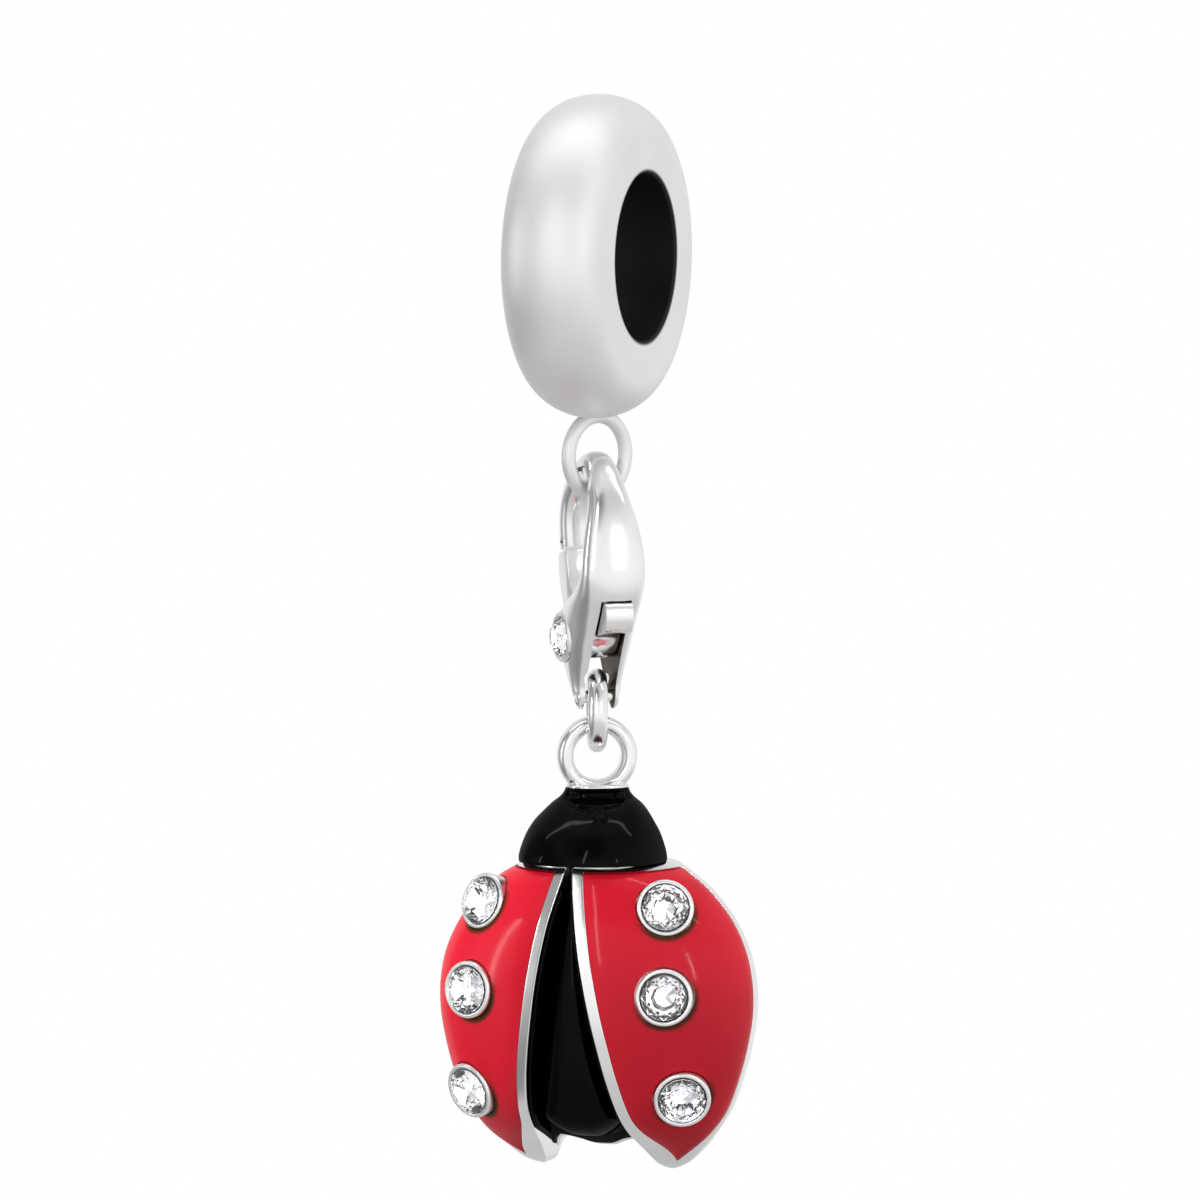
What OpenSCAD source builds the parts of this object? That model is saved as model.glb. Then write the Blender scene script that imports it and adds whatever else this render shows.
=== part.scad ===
// Ladybug dangle charm: a ring bead, a lobster clasp, a jump ring and an enamelled ladybug
// Millimetres, +Z up, the bead's centre at the origin, its bore along X, the ladybug's front facing -Y

/* [Bead] */
// Outer diameter of the bead
bead_d = 10.8; // [9.5:0.1:12]
// Length of the bead along its bore
bead_w = 3.5; // [2.8:0.1:4.2]
// Diameter of the bore that the bracelet passes through
bore_d = 5.6; // [4.6:0.1:6]
// Height of the rounded rim above the flat face
bead_rim = 1.25; // [0.9:0.05:1.4]
// Bevel at each end of the bore
bore_bevel = 0.08; // [0.04:0.02:0.2]

/* [Loop under the bead] */
// Outer diameter of the soldered loop
loop_d = 3.1; // [2.8:0.1:3.6]
// Wire diameter of the loop
loop_wire = 0.48; // [0.4:0.02:0.6]
// How far the loop is sunk into the bead
loop_sink = 0.3; // [0.2:0.05:0.4]
// Turn of the loop's plane away from the bead's own plane, degrees
loop_turn = 25; // [10:1:35]

/* [Clasp] */
// Length of the clasp, top of the hook to the tail
clasp_len = 8.6; // [8:0.1:9.5]
// Width of the clasp across its outline
clasp_w = 4.5; // [4.2:0.1:4.8]
// Thickness of the clasp at its fullest
clasp_t = 2.3; // [2.1:0.05:2.5]
// Width of the slot between the two cheeks
slot_w = 1.08; // [1:0.02:1.14]
// Side clearance of the lever in the slot
lever_side_gap = 0.05; // [0.03:0.01:0.08]
// Diameter of the rivet that the lever turns on
lever_pin_d = 0.5; // [0.4:0.02:0.56]
// Diameter of the rivet that carries the jump ring
link_pin_d = 0.44; // [0.36:0.02:0.5]
// Plan turn of the clasp: azimuth of its spine, degrees
clasp_turn = 41; // [30:1:50]

/* [Jump ring] */
// Outer diameter of the jump ring
link_d = 2.8; // [2.7:0.05:3.2]
// Wire diameter of the jump ring
link_wire = 0.66; // [0.56:0.02:0.7]
// Plan turn of the jump ring: azimuth of its plane, degrees
link_turn = 23; // [21:1:34]

/* [Ladybug] */
// Inner diameter of the bail ring on top
bail_bore = 1.6; // [1.5:0.05:1.8]
// Radial thickness of the bail ring's band
bail_band = 0.55; // [0.45:0.05:0.65]
// Thickness of the bail ring along its axis
bail_t = 0.9; // [0.7:0.05:1.05]
// Plan turn of the bail ring: azimuth of its axis, degrees
bail_turn = 30; // [15:1:40]
// Depth of the bail ring in front of the plane at depth zero
bail_y = 0.0; // [-0.3:0.05:0.3]
// Height of the head
head_h = 2.55; // [2.2:0.05:2.9]
// Full width of the head at the wings
head_w = 5.1; // [4.6:0.1:5.4]
// Length of the wings, head to tips
wing_len = 10.4; // [9.5:0.1:11]
// Full width across both wings
wings_w = 10.9; // [10:0.1:12]
// Rise of the wings' inner edges above the plane at depth zero
wing_rise = 3.6; // [3.2:0.1:4]
// Depth of the back below the plane at depth zero
back_depth = 2.0; // [1.7:0.05:2.3]
// Distance between the two wing tips, inner edge to inner edge
tip_gap = 4.2; // [3.8:0.1:4.6]
// Width of the bare metal rim along a wing's inner edge
rim_w = 0.4; // [0.3:0.02:0.5]
// Thickness of the enamel in the wings and on the head
enamel_t = 0.3; // [0.22:0.02:0.36]

/* [Crystals] */
// Diameter of a wing crystal
stone_d = 1.5; // [1.3:0.05:1.6]
// Outer diameter of a wing crystal's cup
cup_d = 1.92; // [1.85:0.02:2]
// Height of a cup above the enamel at its middle
cup_proud = 0.28; // [0.22:0.02:0.34]
// Diameter of the clasp's crystal
clasp_stone_d = 1.3; // [1.1:0.05:1.4]
// Outer diameter of the clasp crystal's cup
clasp_cup_d = 1.7; // [1.6:0.02:1.76]

/* [Fits] */
// Gap where one link hangs in the next
hang_gap = 0.04; // [0.03:0.01:0.06]
// Gap between pieces that are set in each other
seat_gap = 0.02; // [0.01:0.005:0.03]
// Radial clearance of the lever on its rivet
pin_gap = 0.03; // [0.02:0.005:0.05]

/* [Hidden] */
$fn = 64;
// A length past which a cut has left every piece
beyond = 2 * (bead_d + clasp_len + wing_len);

// Smooth curves through the rows of a table: column 0 is the share along, column c the value
function row_under(t, v, i = 0) = i >= len(t) - 2 || t[i + 1][0] > v ? i : row_under(t, v, i + 1);
function rise(t, c, i) =
    let (a = max(i - 1, 0), b = min(i + 1, len(t) - 1)) (t[b][c] - t[a][c]) / (t[b][0] - t[a][0]);
function at(t, v, c) =
    let (i = row_under(t, v), h = t[i + 1][0] - t[i][0], u = (v - t[i][0]) / h)
    (2 * u ^ 3 - 3 * u ^ 2 + 1) * t[i][c] + (u ^ 3 - 2 * u ^ 2 + u) * h * rise(t, c, i)
    + (3 * u ^ 2 - 2 * u ^ 3) * t[i + 1][c] + (u ^ 3 - u ^ 2) * h * rise(t, c, i + 1);
function mix(a, b, k) = a + (b - a) * k;
function steps(a, b, n) = [for (i = [0:n]) mix(a, b, i / n)];
function power(x, e) = sign(x) * abs(x) ^ e;
function total(list, i = 0) = i == len(list) - 1 ? list[i] : list[i] + total(list, i + 1);
function backwards(list) = [for (i = [len(list) - 1:-1:0]) list[i]];

// Closed solid through rings of equal length, each end closed towards its middle point
module skin(rings) {
    n = len(rings[0]);
    m = len(rings);
    points = concat([for (r = rings) each r], [total(rings[0]) / n, total(rings[m - 1]) / n]);
    sides = [for (i = [0:m - 2], j = [0:n - 1]) let (a = i * n + j, b = i * n + (j + 1) % n)
        each [[a, b, b + n], [a, b + n, a + n]]];
    ends = [for (j = [0:n - 1]) let (k = (j + 1) % n)
        each [[k, j, m * n], [(m - 1) * n + j, (m - 1) * n + k, m * n + 1]]];
    polyhedron(points, concat(sides, ends));
}

// Closed layer between an upper and a lower grid of points, rows of equal length
module layer(upper, lower) {
    rings = [for (i = [0:len(upper) - 1]) concat(upper[i], backwards(lower[i]))];
    n = len(rings[0]);
    m = len(rings);
    sides = [for (i = [0:m - 2], j = [0:n - 1]) let (a = i * n + j, b = i * n + (j + 1) % n)
        each [[a, b, b + n], [a, b + n, a + n]]];
    ends = [for (j = [0:n / 2 - 2]) let (a = j, b = j + 1, c = n - 2 - j, d = n - 1 - j, e = (m - 1) * n)
        each [[b, a, d], [b, d, c], [e + a, e + b, e + d], [e + b, e + c, e + d]]];
    polyhedron([for (r = rings) each r], concat(sides, ends));
}

// Bead and its loop
bead_r = bead_d / 2;
loop_z = -(bead_r - loop_sink + loop_d / 2);
rim_steps = 20;
module bead() {
    rim = [for (i = [0:rim_steps]) let (a = 180 * i / rim_steps)
        [bead_r - bead_rim + bead_rim * sin(a), bead_w / 2 * cos(a)]];
    hole = [[bore_d / 2 + bore_bevel, -bead_w / 2], [bore_d / 2, -bead_w / 2 + bore_bevel],
        [bore_d / 2, bead_w / 2 - bore_bevel], [bore_d / 2 + bore_bevel, bead_w / 2]];
    color("silver") {
        rotate([0, 90, 0]) rotate_extrude($fn = 96) polygon(concat(hole, rim));
        translate([0, 0, loop_z]) upright_ring(loop_d, loop_wire, 90 - loop_turn);
    }
}

// Ring of round wire standing upright, its plane along the given angle from +X
module upright_ring(d, wire, angle) {
    rotate([90, 0, angle]) rotate_extrude() translate([(d - wire) / 2, 0]) circle(wire / 2, $fn = 40);
}

// Clasp outline, one row per section: outer edge u and z, inner edge u and z, half thickness,
// as shares of half the clasp's width, of its length and of half its thickness
clasp_rows = [
    [-1.08, 0.405, -0.71, 0.380, 0.46],
    [-1.08, 0.300, -0.70, 0.290, 0.50],
    [-1.02, 0.205, -0.64, 0.226, 0.50],
    [-0.86, 0.130, -0.51, 0.186, 0.49],
    [-0.60, 0.064, -0.35, 0.157, 0.48],
    [-0.30, 0.018, -0.17, 0.139, 0.47],
    [0.00, 0.000, 0.00, 0.134, 0.47],
    [0.27, 0.036, 0.14, 0.146, 0.50],
    [0.49, 0.099, 0.25, 0.176, 0.56],
    [0.67, 0.163, 0.34, 0.217, 0.63],
    [0.80, 0.233, 0.40, 0.268, 0.74],
    [0.89, 0.314, 0.43, 0.328, 0.85],
    [0.935, 0.407, 0.46, 0.400, 0.93],
    [0.94, 0.477, 0.42, 0.459, 0.96],
    [0.90, 0.552, 0.09, 0.523, 0.98],
    [0.80, 0.616, -0.33, 0.570, 1.00],
    [0.645, 0.686, -0.645, 0.628, 1.00],
    [0.49, 0.756, -0.72, 0.698, 0.98],
    [0.38, 0.814, -0.67, 0.767, 0.91],
    [0.275, 0.866, -0.53, 0.831, 0.83],
    [0.20, 0.913, -0.38, 0.890, 0.76],
    [0.18, 0.953, -0.22, 0.942, 0.70],
    [0.13, 0.983, -0.15, 0.979, 0.64],
    [0.06, 1.000, -0.07, 0.999, 0.54],
];
hook_row = 6;
slot_top = 0.562;
gate_slot = [-0.09, 0.50];
tail_share = 0.951;
half_w = clasp_w / 2;
half_t = clasp_t / 2;
// The clasp's own frame: X to the crystal's side, Y to the spine, Z up, origin at the top of its hook
hook_h = clasp_rows[hook_row][3] * clasp_len;
clasp_z = loop_z - loop_d / 2 + loop_wire + hang_gap + hook_h;
tail_z = -tail_share * clasp_len;
// Place on the clasp's outline from a pair of shares
function spot(u, z) = [u * half_w, -z * clasp_len];
module in_clasp() {
    translate([0, 0, clasp_z]) rotate([0, 0, 180 + clasp_turn]) children();
}
module across(r, h) {
    rotate([0, 90, 0]) cylinder(h = h, r = r, center = true);
}

clasp_sides = 20;
clasp_box = 0.82;
clasp_sub = 2;
function clasp_ring(i) =
    let (rows = [for (k = [0:len(clasp_rows) - 1]) concat([k], clasp_rows[k])],
        out = spot(at(rows, i, 1), at(rows, i, 2)), in = spot(at(rows, i, 3), at(rows, i, 4)),
        t = at(rows, i, 5) * half_t)
    [for (j = [0:clasp_sides - 1]) let (a = -360 * j / clasp_sides, q = mix(in, out, (1 + power(cos(a), clasp_box)) / 2))
        [t * power(sin(a), clasp_box), q[0], q[1]]];

// The lever's rivet sits near the gate side, so that the gate's tip moves inwards
pivot = spot(-0.49, 0.727);
lever_pin_r = lever_pin_d / 2;
link_pin_r = link_pin_d / 2;
// The clasp crystal's place on the cheek and how deep its cup is let in
crystal_spot = spot(-0.2, 0.72);
clasp_cup_h = 0.42;
clasp_cup_in = 0.42;
module clasp_body() {
    color("silver") in_clasp() difference() {
        skin([for (i = [0:len(clasp_rows) * clasp_sub - clasp_sub]) clasp_ring(i / clasp_sub)]);
        translate([-slot_w / 2, -beyond / 2, -slot_top * clasp_len - beyond]) cube([slot_w, beyond, beyond]);
        translate([-slot_w / 2, gate_slot[0] * half_w - beyond, -gate_slot[1] * clasp_len - beyond])
            cube([slot_w, beyond, beyond]);
        translate([0, pivot[0], pivot[1]]) across(lever_pin_r + seat_gap / 2, beyond);
        translate([0, 0, tail_z]) across(link_pin_r + seat_gap / 2, beyond);
        clasp_cup_place() cylinder(h = beyond, r = clasp_cup_d / 2 + seat_gap);
    }
}
module clasp_cup_place() {
    translate([half_t - clasp_cup_in, crystal_spot[0], crystal_spot[1]]) rotate([0, 90, 0]) children();
}

// Lever outline: gate tip, gate arm, belly, thumb nub and top edge, as shares like the clasp's
lever_outline = [
    [-1.072, 0.415], [-1.075, 0.462], [-1.03, 0.520], [-0.935, 0.585], [-0.82, 0.640], [-0.74, 0.698],
    [-0.70, 0.744], [-0.58, 0.779], [-0.22, 0.800], [0.09, 0.797], [0.29, 0.756], [0.445, 0.709],
    [0.67, 0.695], [0.91, 0.683], [0.99, 0.650], [1.01, 0.610], [0.96, 0.576], [0.80, 0.570],
    [0.10, 0.570], [-0.31, 0.580], [-0.46, 0.572], [-0.56, 0.540], [-0.645, 0.494], [-0.70, 0.440],
    [-0.71, 0.392],
];
module clasp_lever() {
    t = slot_w - 2 * lever_side_gap;
    color("silver") in_clasp() difference() {
        rotate([90, 0, 90]) translate([0, 0, -t / 2]) linear_extrude(t)
            polygon([for (p = lever_outline) spot(p[0], p[1])]);
        translate([0, pivot[0], pivot[1]]) across(lever_pin_r + pin_gap, beyond);
    }
}

// Reach of the rivets as shares of half the clasp's thickness; the lever's ends under the crystal's cup
lever_pin_share = 0.78;
link_pin_share = 0.64;
module lever_pin() {
    near = half_t - clasp_cup_in - seat_gap;
    far = lever_pin_share * half_t;
    color("silver") in_clasp() translate([(near - far) / 2, pivot[0], pivot[1]]) across(lever_pin_r, near + far);
}
module link_pin() {
    color("silver") in_clasp() translate([0, 0, tail_z]) across(link_pin_r, link_pin_share * clasp_t);
}

// Height of a cup's bevelled lip, and its seat's depth and flat bottom as shares of the stone
lip = 0.06;
seat_depth = 0.23;
seat_flat = 0.1;
// Cup with a stone seat: outer diameter, stone diameter, height; open towards +Z
module cup(outer, stone, h) {
    seat = h - lip - seat_depth * stone;
    rotate_extrude() polygon([[0, 0], [outer / 2, 0], [outer / 2, h - lip], [outer / 2 - lip, h],
        [stone / 2 + seat_gap, h], [stone / 2 + seat_gap, h - lip], [seat_flat * stone, seat], [0, seat]]);
}

// A stone's cut, as shares of its diameter
table = 0.56;
crown = 0.16;
star_d = 0.83;
star_h = 0.072;
girdle = 0.03;
pavilion = 0.24;
culet = 0.3;
facets = 8;
// Round cut stone: table, crown facets, girdle and pavilion; the girdle's lower edge at Z = 0
module stone(d) {
    color("white") scale(d) hull() {
        translate([0, 0, girdle]) cylinder(h = crown, d1 = 1, d2 = table, $fn = facets);
        rotate([0, 0, 180 / facets]) translate([0, 0, girdle]) cylinder(h = star_h, d1 = 1, d2 = star_d, $fn = facets);
        cylinder(h = girdle, d = 1, $fn = 2 * facets);
        translate([0, 0, -pavilion]) cylinder(h = pavilion, d1 = culet, d2 = 1, $fn = facets);
    }
}

module clasp_cup() {
    color("silver") in_clasp() clasp_cup_place() translate([0, 0, seat_gap])
        cup(clasp_cup_d, clasp_stone_d, clasp_cup_h);
}
module clasp_crystal() {
    color("white") in_clasp() clasp_cup_place() translate([0, 0, seat_gap + clasp_cup_h])
        stone(clasp_stone_d);
}

// Jump ring round the tail rivet
link_z = clasp_z + tail_z + link_pin_r + hang_gap - (link_d / 2 - link_wire);
module jump_ring() {
    color("silver") translate([0, 0, link_z]) upright_ring(link_d, link_wire, link_turn - 90);
}

// The ladybug's own frame: X across, -Y to its front, Z up, origin at the centre of the bail ring
bail_z = link_z - link_d / 2 + link_wire + hang_gap - bail_bore / 2;
module in_bug() {
    translate([0, bail_y, bail_z]) children();
}
neck_z = -0.95;
wing_z = neck_z - head_h;

// Wing sections from head to tip: outer edge, inner edge, inner edge's height, outer edge's height,
// as shares of half the wings' width, of half the tip gap and twice of the wings' rise
wing_rows = [
    [0.00, 0.46, 0.05, 0.72, -0.20],
    [0.03, 0.55, 0.07, 0.77, -0.20],
    [0.09, 0.70, 0.13, 0.85, -0.19],
    [0.18, 0.85, 0.225, 0.945, -0.17],
    [0.28, 0.95, 0.315, 0.995, -0.15],
    [0.38, 0.995, 0.405, 1.00, -0.14],
    [0.48, 1.00, 0.49, 0.97, -0.14],
    [0.58, 0.97, 0.58, 0.91, -0.14],
    [0.68, 0.92, 0.665, 0.82, -0.14],
    [0.79, 0.84, 0.75, 0.645, -0.15],
    [0.86, 0.755, 0.80, 0.43, -0.16],
    [0.92, 0.66, 0.87, 0.15, -0.19],
    [0.97, 0.555, 0.945, -0.08, -0.22],
    [1.00, 0.465, 1.00, -0.235, -0.25],
];
function outer_x(v) = wings_w / 2 * at(wing_rows, v, 1);
function inner_x(v) = tip_gap / 2 * at(wing_rows, v, 2);
function inner_d(v) = wing_rise * at(wing_rows, v, 3);
function outer_d(v) = wing_rise * at(wing_rows, v, 4);
// Reach of the section curve's handles: across at the inner edge, down at the outer edge
reach = 0.6;
drop = 0.62;
lean = 0.25;
// Point of the wing's front at share s across and v along
function front(s, v) =
    let (x0 = inner_x(v), x3 = outer_x(v), d0 = inner_d(v), d3 = outer_d(v),
        x1 = x0 + reach * (x3 - x0), d1 = d0 - reach * lean * (x3 - x0), d2 = d3 + drop * (d0 - d3),
        r = 1 - s, a = r ^ 3, b = 3 * s * r ^ 2, c = 3 * s ^ 2 * r, e = s ^ 3)
    [a * x0 + b * x1 + (c + e) * x3, -(a * d0 + b * d1 + c * d2 + e * d3), wing_z - v * wing_len];
small = 0.004;
function outward(s, v) =
    let (n = cross(front(min(s + small, 1), v) - front(max(s - small, 0), v),
            front(s, min(v + small, 1)) - front(s, max(v - small, 0))))
    n / norm(n);
// The wing's front pushed in by depth h
function wing_point(s, v, h) = front(s, v) + h * outward(s, v);

// The enamelled panel of a wing, with a pointed lower end
panel_top = 0.016;
panel_low = 0.97;
panel_narrow = 0.8;
panel_point = 0.45;
panel_least = 0.2;
panel_close = [2.6, 0.9];
// The outer rim's width as shares of the inner's, at the head and at the tip
outer_rim = [0.3, 0.6];
function closing(v) = v < panel_narrow ? 0
    : min(((v - panel_narrow) / (panel_low - panel_narrow)) ^ panel_close[0], panel_close[1]);
function panel_in(v) =
    mix(min(rim_w / (3 * reach * (outer_x(v) - inner_x(v))), panel_point), panel_point, closing(v));
function panel_out(v) =
    mix(max(1 - mix(outer_rim[0], outer_rim[1], v ^ 2) * rim_w / (3 * drop * (inner_d(v) - outer_d(v))),
        panel_point + panel_least), panel_point, closing(v));
panel_cols = 9;
panel_rows = 26;
wall = 0.0015;

// The back: its corner's radius as a share of the width, its depth at the ends as a share of the full depth
back_round = 0.35;
back_ends = 0.8;
back_low = 0.97;
function back_at(v) = back_depth * mix(back_ends, 1, sin(180 * max(0, min(v, back_low))));
edge_steps = 4;
function wing_ring(v) =
    let (floor = v > panel_top && v < panel_low ? enamel_t : 0, p = panel_in(v), q = panel_out(v),
        x0 = inner_x(v), x3 = outer_x(v), d3 = outer_d(v), z = wing_z - v * wing_len,
        rx = back_round * (x3 - x0), back = back_at(v))
    concat(
        [for (s = [0, p / 2, p]) wing_point(s, v, 0)],
        [for (s = steps(p + wall, q - wall, panel_cols)) wing_point(s, v, floor)],
        [for (s = [q, 1]) wing_point(s, v, 0)],
        [for (i = [1:edge_steps]) let (a = 90 * i / edge_steps)
            [x3 - rx + rx * cos(a), -(d3 - (d3 + back) * sin(a)), z]],
        [for (k = [1:2]) [mix(x3 - rx, x0, k / 2), back, z]],
        [for (k = [1:2]) [x0, mix(back, -inner_d(v), k / 3), z]]);
// The tip's rounding: where its last full section lies and how much its end is narrowed
tip_from = 0.985;
tip_share = 0.5;
function narrowed(ring, k) = let (c = total(ring) / len(ring)) [for (p = ring) c + k * (p - c)];
module wing_metal() {
    vs = concat([0, panel_top / 2, panel_top], steps(panel_top + wall, panel_low - wall, panel_rows),
        [panel_low, tip_from]);
    skin(concat([for (v = vs) wing_ring(v)], [narrowed(wing_ring(1), tip_share)]));
}
function seat_share(v) = 2 * seat_gap / (3 * reach * (outer_x(v) - inner_x(v)));
module wing_panel() {
    vs = steps(panel_top + wall + seat_gap / wing_len, panel_low - wall - seat_gap / wing_len, panel_rows);
    function sheet(h) = [for (v = vs) [for (s = steps(panel_in(v) + seat_share(v), panel_out(v) - seat_share(v), panel_cols + 2))
        wing_point(s, v, h)]];
    layer(sheet(0), sheet(enamel_t - seat_gap));
}

// Head sections from neck to wings: half width, front depth and back depth as shares of the head's width
head_rows = [
    [0.00, 0.205, 0.175, 0.14],
    [0.05, 0.208, 0.170, 0.14],
    [0.11, 0.215, 0.150, 0.145],
    [0.17, 0.240, 0.165, 0.15],
    [0.24, 0.285, 0.245, 0.155],
    [0.34, 0.335, 0.335, 0.165],
    [0.46, 0.385, 0.41, 0.175],
    [0.61, 0.43, 0.48, 0.185],
    [0.80, 0.465, 0.54, 0.195],
    [0.93, 0.48, 0.565, 0.20],
    [1.00, 0.485, 0.57, 0.20],
];
// The enamel covers the front and this many degrees more on each side
head_cover = 20;
head_cols = 24;
head_rows_n = 13;
head_back = 10;
head_box = 0.86;
// Shares along of the bare rim at the neck, of the recess and of the enamel in it
neck_rim = 0.03;
recess = [0.033, 0.98];
cap = [0.04, 0.995];
cap_edge = 0.5;
// The head's foot, narrowed and sunk into the core
foot = 0.8;
foot_sink = 0.5;
foot_back = 0.6;
// The neck is turned with the bail ring, the head's lower part isn't
neck_end = 0.5;
function ease(k) = k * k * (3 - 2 * k);
function neck_turn(v) = bail_turn * (1 - ease(min(v / neck_end, 1)));
function turned(p, a) = [p[0] * cos(a) - p[1] * sin(a), p[0] * sin(a) + p[1] * cos(a), p[2]];
function head_point(a, v, h) =
    let (w = head_w * at(head_rows, v, 1) - h, f = head_w * at(head_rows, v, sin(a) > 0 ? 2 : 3) - h)
    turned([w * power(cos(a), head_box), -f * power(sin(a), sin(a) > 0 ? head_box : 1), neck_z - v * head_h],
        neck_turn(v));
module head_metal() {
    vs = concat([0, neck_rim], steps(recess[0], recess[1], head_rows_n));
    function ring(v) =
        let (h = v > neck_rim ? enamel_t : 0)
        concat(
            [for (a = steps(180 + head_cover, -head_cover, head_cols)) head_point(a, v, h)],
            [for (a = steps(-head_cover - 1, head_cover - 179, head_back)) head_point(a, v, 0)]);
    low = [for (p = ring(recess[1])) [p[0] * foot, p[1] * foot + foot_back, wing_z - foot_sink]];
    skin(concat([for (v = vs) ring(v)], [low]));
}
module head_cap() {
    vs = steps(cap[0], cap[1], head_rows_n + 2);
    function sheet(h) = [for (v = vs)
        [for (a = steps(180 + head_cover - cap_edge, cap_edge - head_cover, head_cols)) head_point(a, v, h)]];
    layer(sheet(0), sheet(enamel_t - seat_gap));
}

// Core between the wings: a floor in front, a belly behind
core_w = 2.3;
core_floor = 0.3;
core_top = 0.06;
belly = 0.45;
belly_power = 0.7;
belly_ends = 0.04;
core_under = 0.05;
// Its lower edge: distance from the middle, share along
core_edge = [
    [0.00, 0.929], [0.35, 0.927], [0.70, 0.914], [1.10, 0.903], [1.40, 0.902], [1.65, 0.920], [1.90, 0.945], [2.30, 0.930],
];
function edge_at(x) = at(core_edge, min(abs(x), core_w), 1);
// The floor draws back towards the lower end: from, to, by how much
floor_back = [0.8, 0.95, 1.7];
function floor_at(v) =
    core_floor - floor_back[2] * (max(v - floor_back[0], 0) / (floor_back[1] - floor_back[0])) ^ 2;
core_cols = 20;
core_crowd = 1.6;
function core_ring(x) =
    let (top = wing_z - core_top, low = wing_z - edge_at(x) * wing_len, k = 1 - (x / core_w) ^ 2)
    concat(
        [for (t = steps(0, 1, 10)) let (z = mix(low, top, (1 - t) ^ core_crowd)) [x, -floor_at((wing_z - z) / wing_len), z]],
        [for (t = steps(belly_ends, 1 - belly_ends, 10)) let (z = mix(low, top, t))
            [x, back_at((wing_z - z) / wing_len) - core_under + belly * k * sin(180 * t) ^ belly_power, z]]);
module core_metal() {
    skin([for (x = steps(core_w, -core_w, core_cols)) core_ring(x)]);
}

// Black enamel between the wings: thin walls, a floor and a rounded body
body_top = 0.075;
body_low = 0.921;
body_t = 0.25;
wall_t = 0.1;
// The walls' edge below the wings' inner edges, and how it draws back towards the lower end
wall_below = 0.15;
wall_from = 0.86;
wall_back = 15.5;
body_half = 1.5;
body_rows = [
    [0.00, 2.0], [0.10, 2.25], [0.29, 2.6], [0.50, 2.75], [0.69, 2.6], [0.80, 2.3], [0.85, 2.0], [0.90, 1.6],
];
// Where the body starts to round off and where it ends: its width, its height
body_narrow = [0.72, 0.885, 2.6];
body_fall = [0.8, 0.885, 3];
body_least = 0.1;
body_crest = [2.2, 0.6];
body_edge = 0.02;
function rounded(v, r, e) = let (t = min(max(v - r[0], 0) / (r[1] - r[0]), 1)) (1 - t ^ r[2]) ^ e;
body_cols = 14;
// The rows shift with the core's lower edge from here on
body_shift = 0.8;
function shifted(x, v) =
    v + (edge_at(x) - core_edge[0][1]) * max(v - body_shift, 0) / (body_low - body_shift);
function low_at(x, v) = floor_at(shifted(x, v)) + body_t;
function body_row(v) =
    let (vx = shifted(inner_x(v), v), x = inner_x(vx) - 2 * seat_gap,
        side = max(low_at(x, v), inner_d(vx) - wall_below - wall_back * max(vx - wall_from, 0)),
        x2 = x - wall_t - body_edge,
        w = min(x2 - body_edge, v > body_fall[1] ? body_half : body_half * max(rounded(v, body_narrow, 1 / body_narrow[2]), body_least)),
        crest = at(body_rows, v, 1), full = rounded(v, body_fall, 0.5))
    concat(
        [[-x, side], [-x + wall_t, side], [-x2, low_at(x2, v)]],
        [for (u = steps(body_edge / 2 - 1, 1 - body_edge / 2, body_cols)) let (low = low_at(u * w, v))
            [u * w, low + body_edge + max(crest - low, 0) * full * (1 - abs(u) ^ body_crest[0]) ^ body_crest[1]]],
        [[x2, low_at(x2, v)], [x - wall_t, side], [x, side]]);
module body_cover() {
    vs = concat(steps(body_top, body_fall[0], 14), steps(mix(body_fall[0], body_fall[1], 0.25), body_fall[1], 6),
        [mix(body_fall[1], body_low, 0.5), body_low]);
    function sheet(upper) = [for (v = vs) [for (p = body_row(v))
        [p[0], upper ? -p[1] : -floor_at(shifted(p[0], v)) - seat_gap, wing_z - shifted(p[0], v) * wing_len]]];
    layer(sheet(true), sheet(false));
}

// Crystals on each wing: share along, share across, tilt outwards and tilt upwards
stone_rows = [
    [0.13, 0.75, 26, 16],
    [0.405, 0.63, 18, 2],
    [0.735, 0.77, 24, -16],
];
cup_h = 0.9;
// Share across at which the wing's front reaches x
function across_at(x, v, a = 0, b = 1, n = 24) =
    let (m = (a + b) / 2) n == 0 ? m : front(m, v)[0] < x ? across_at(x, v, m, b, n - 1) : across_at(x, v, a, m, n - 1);
module on_wing(i) {
    row = stone_rows[i];
    place = front(across_at(row[1] * outer_x(row[0]), row[0]), row[0]);
    translate(place) rotate([90 - row[3], 0, row[2]]) translate([0, 0, cup_proud - cup_h]) children();
}
module both_sides(side) {
    if (side > 0) children();
    else mirror([1, 0, 0]) children();
}
module cup_sockets(gap) {
    for (i = [0:2]) on_wing(i) cylinder(h = 3 * cup_h, r = cup_d / 2 + gap);
}

bail_sides = 24;
bail_box = 0.8;
module bail_ring() {
    rotate([90, 0, bail_turn]) rotate_extrude() translate([bail_bore / 2 + bail_band / 2, 0])
        polygon([for (i = [0:bail_sides - 1]) let (a = 360 * i / bail_sides)
            [bail_band / 2 * cos(a), bail_t / 2 * power(sin(a), bail_box)]]);
}
module ladybug_casting() {
    color("silver") in_bug() difference() {
        union() {
            bail_ring();
            head_metal();
            core_metal();
            for (side = [-1, 1]) both_sides(side) wing_metal();
        }
        for (side = [-1, 1]) both_sides(side) cup_sockets(seat_gap);
    }
}

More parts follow.
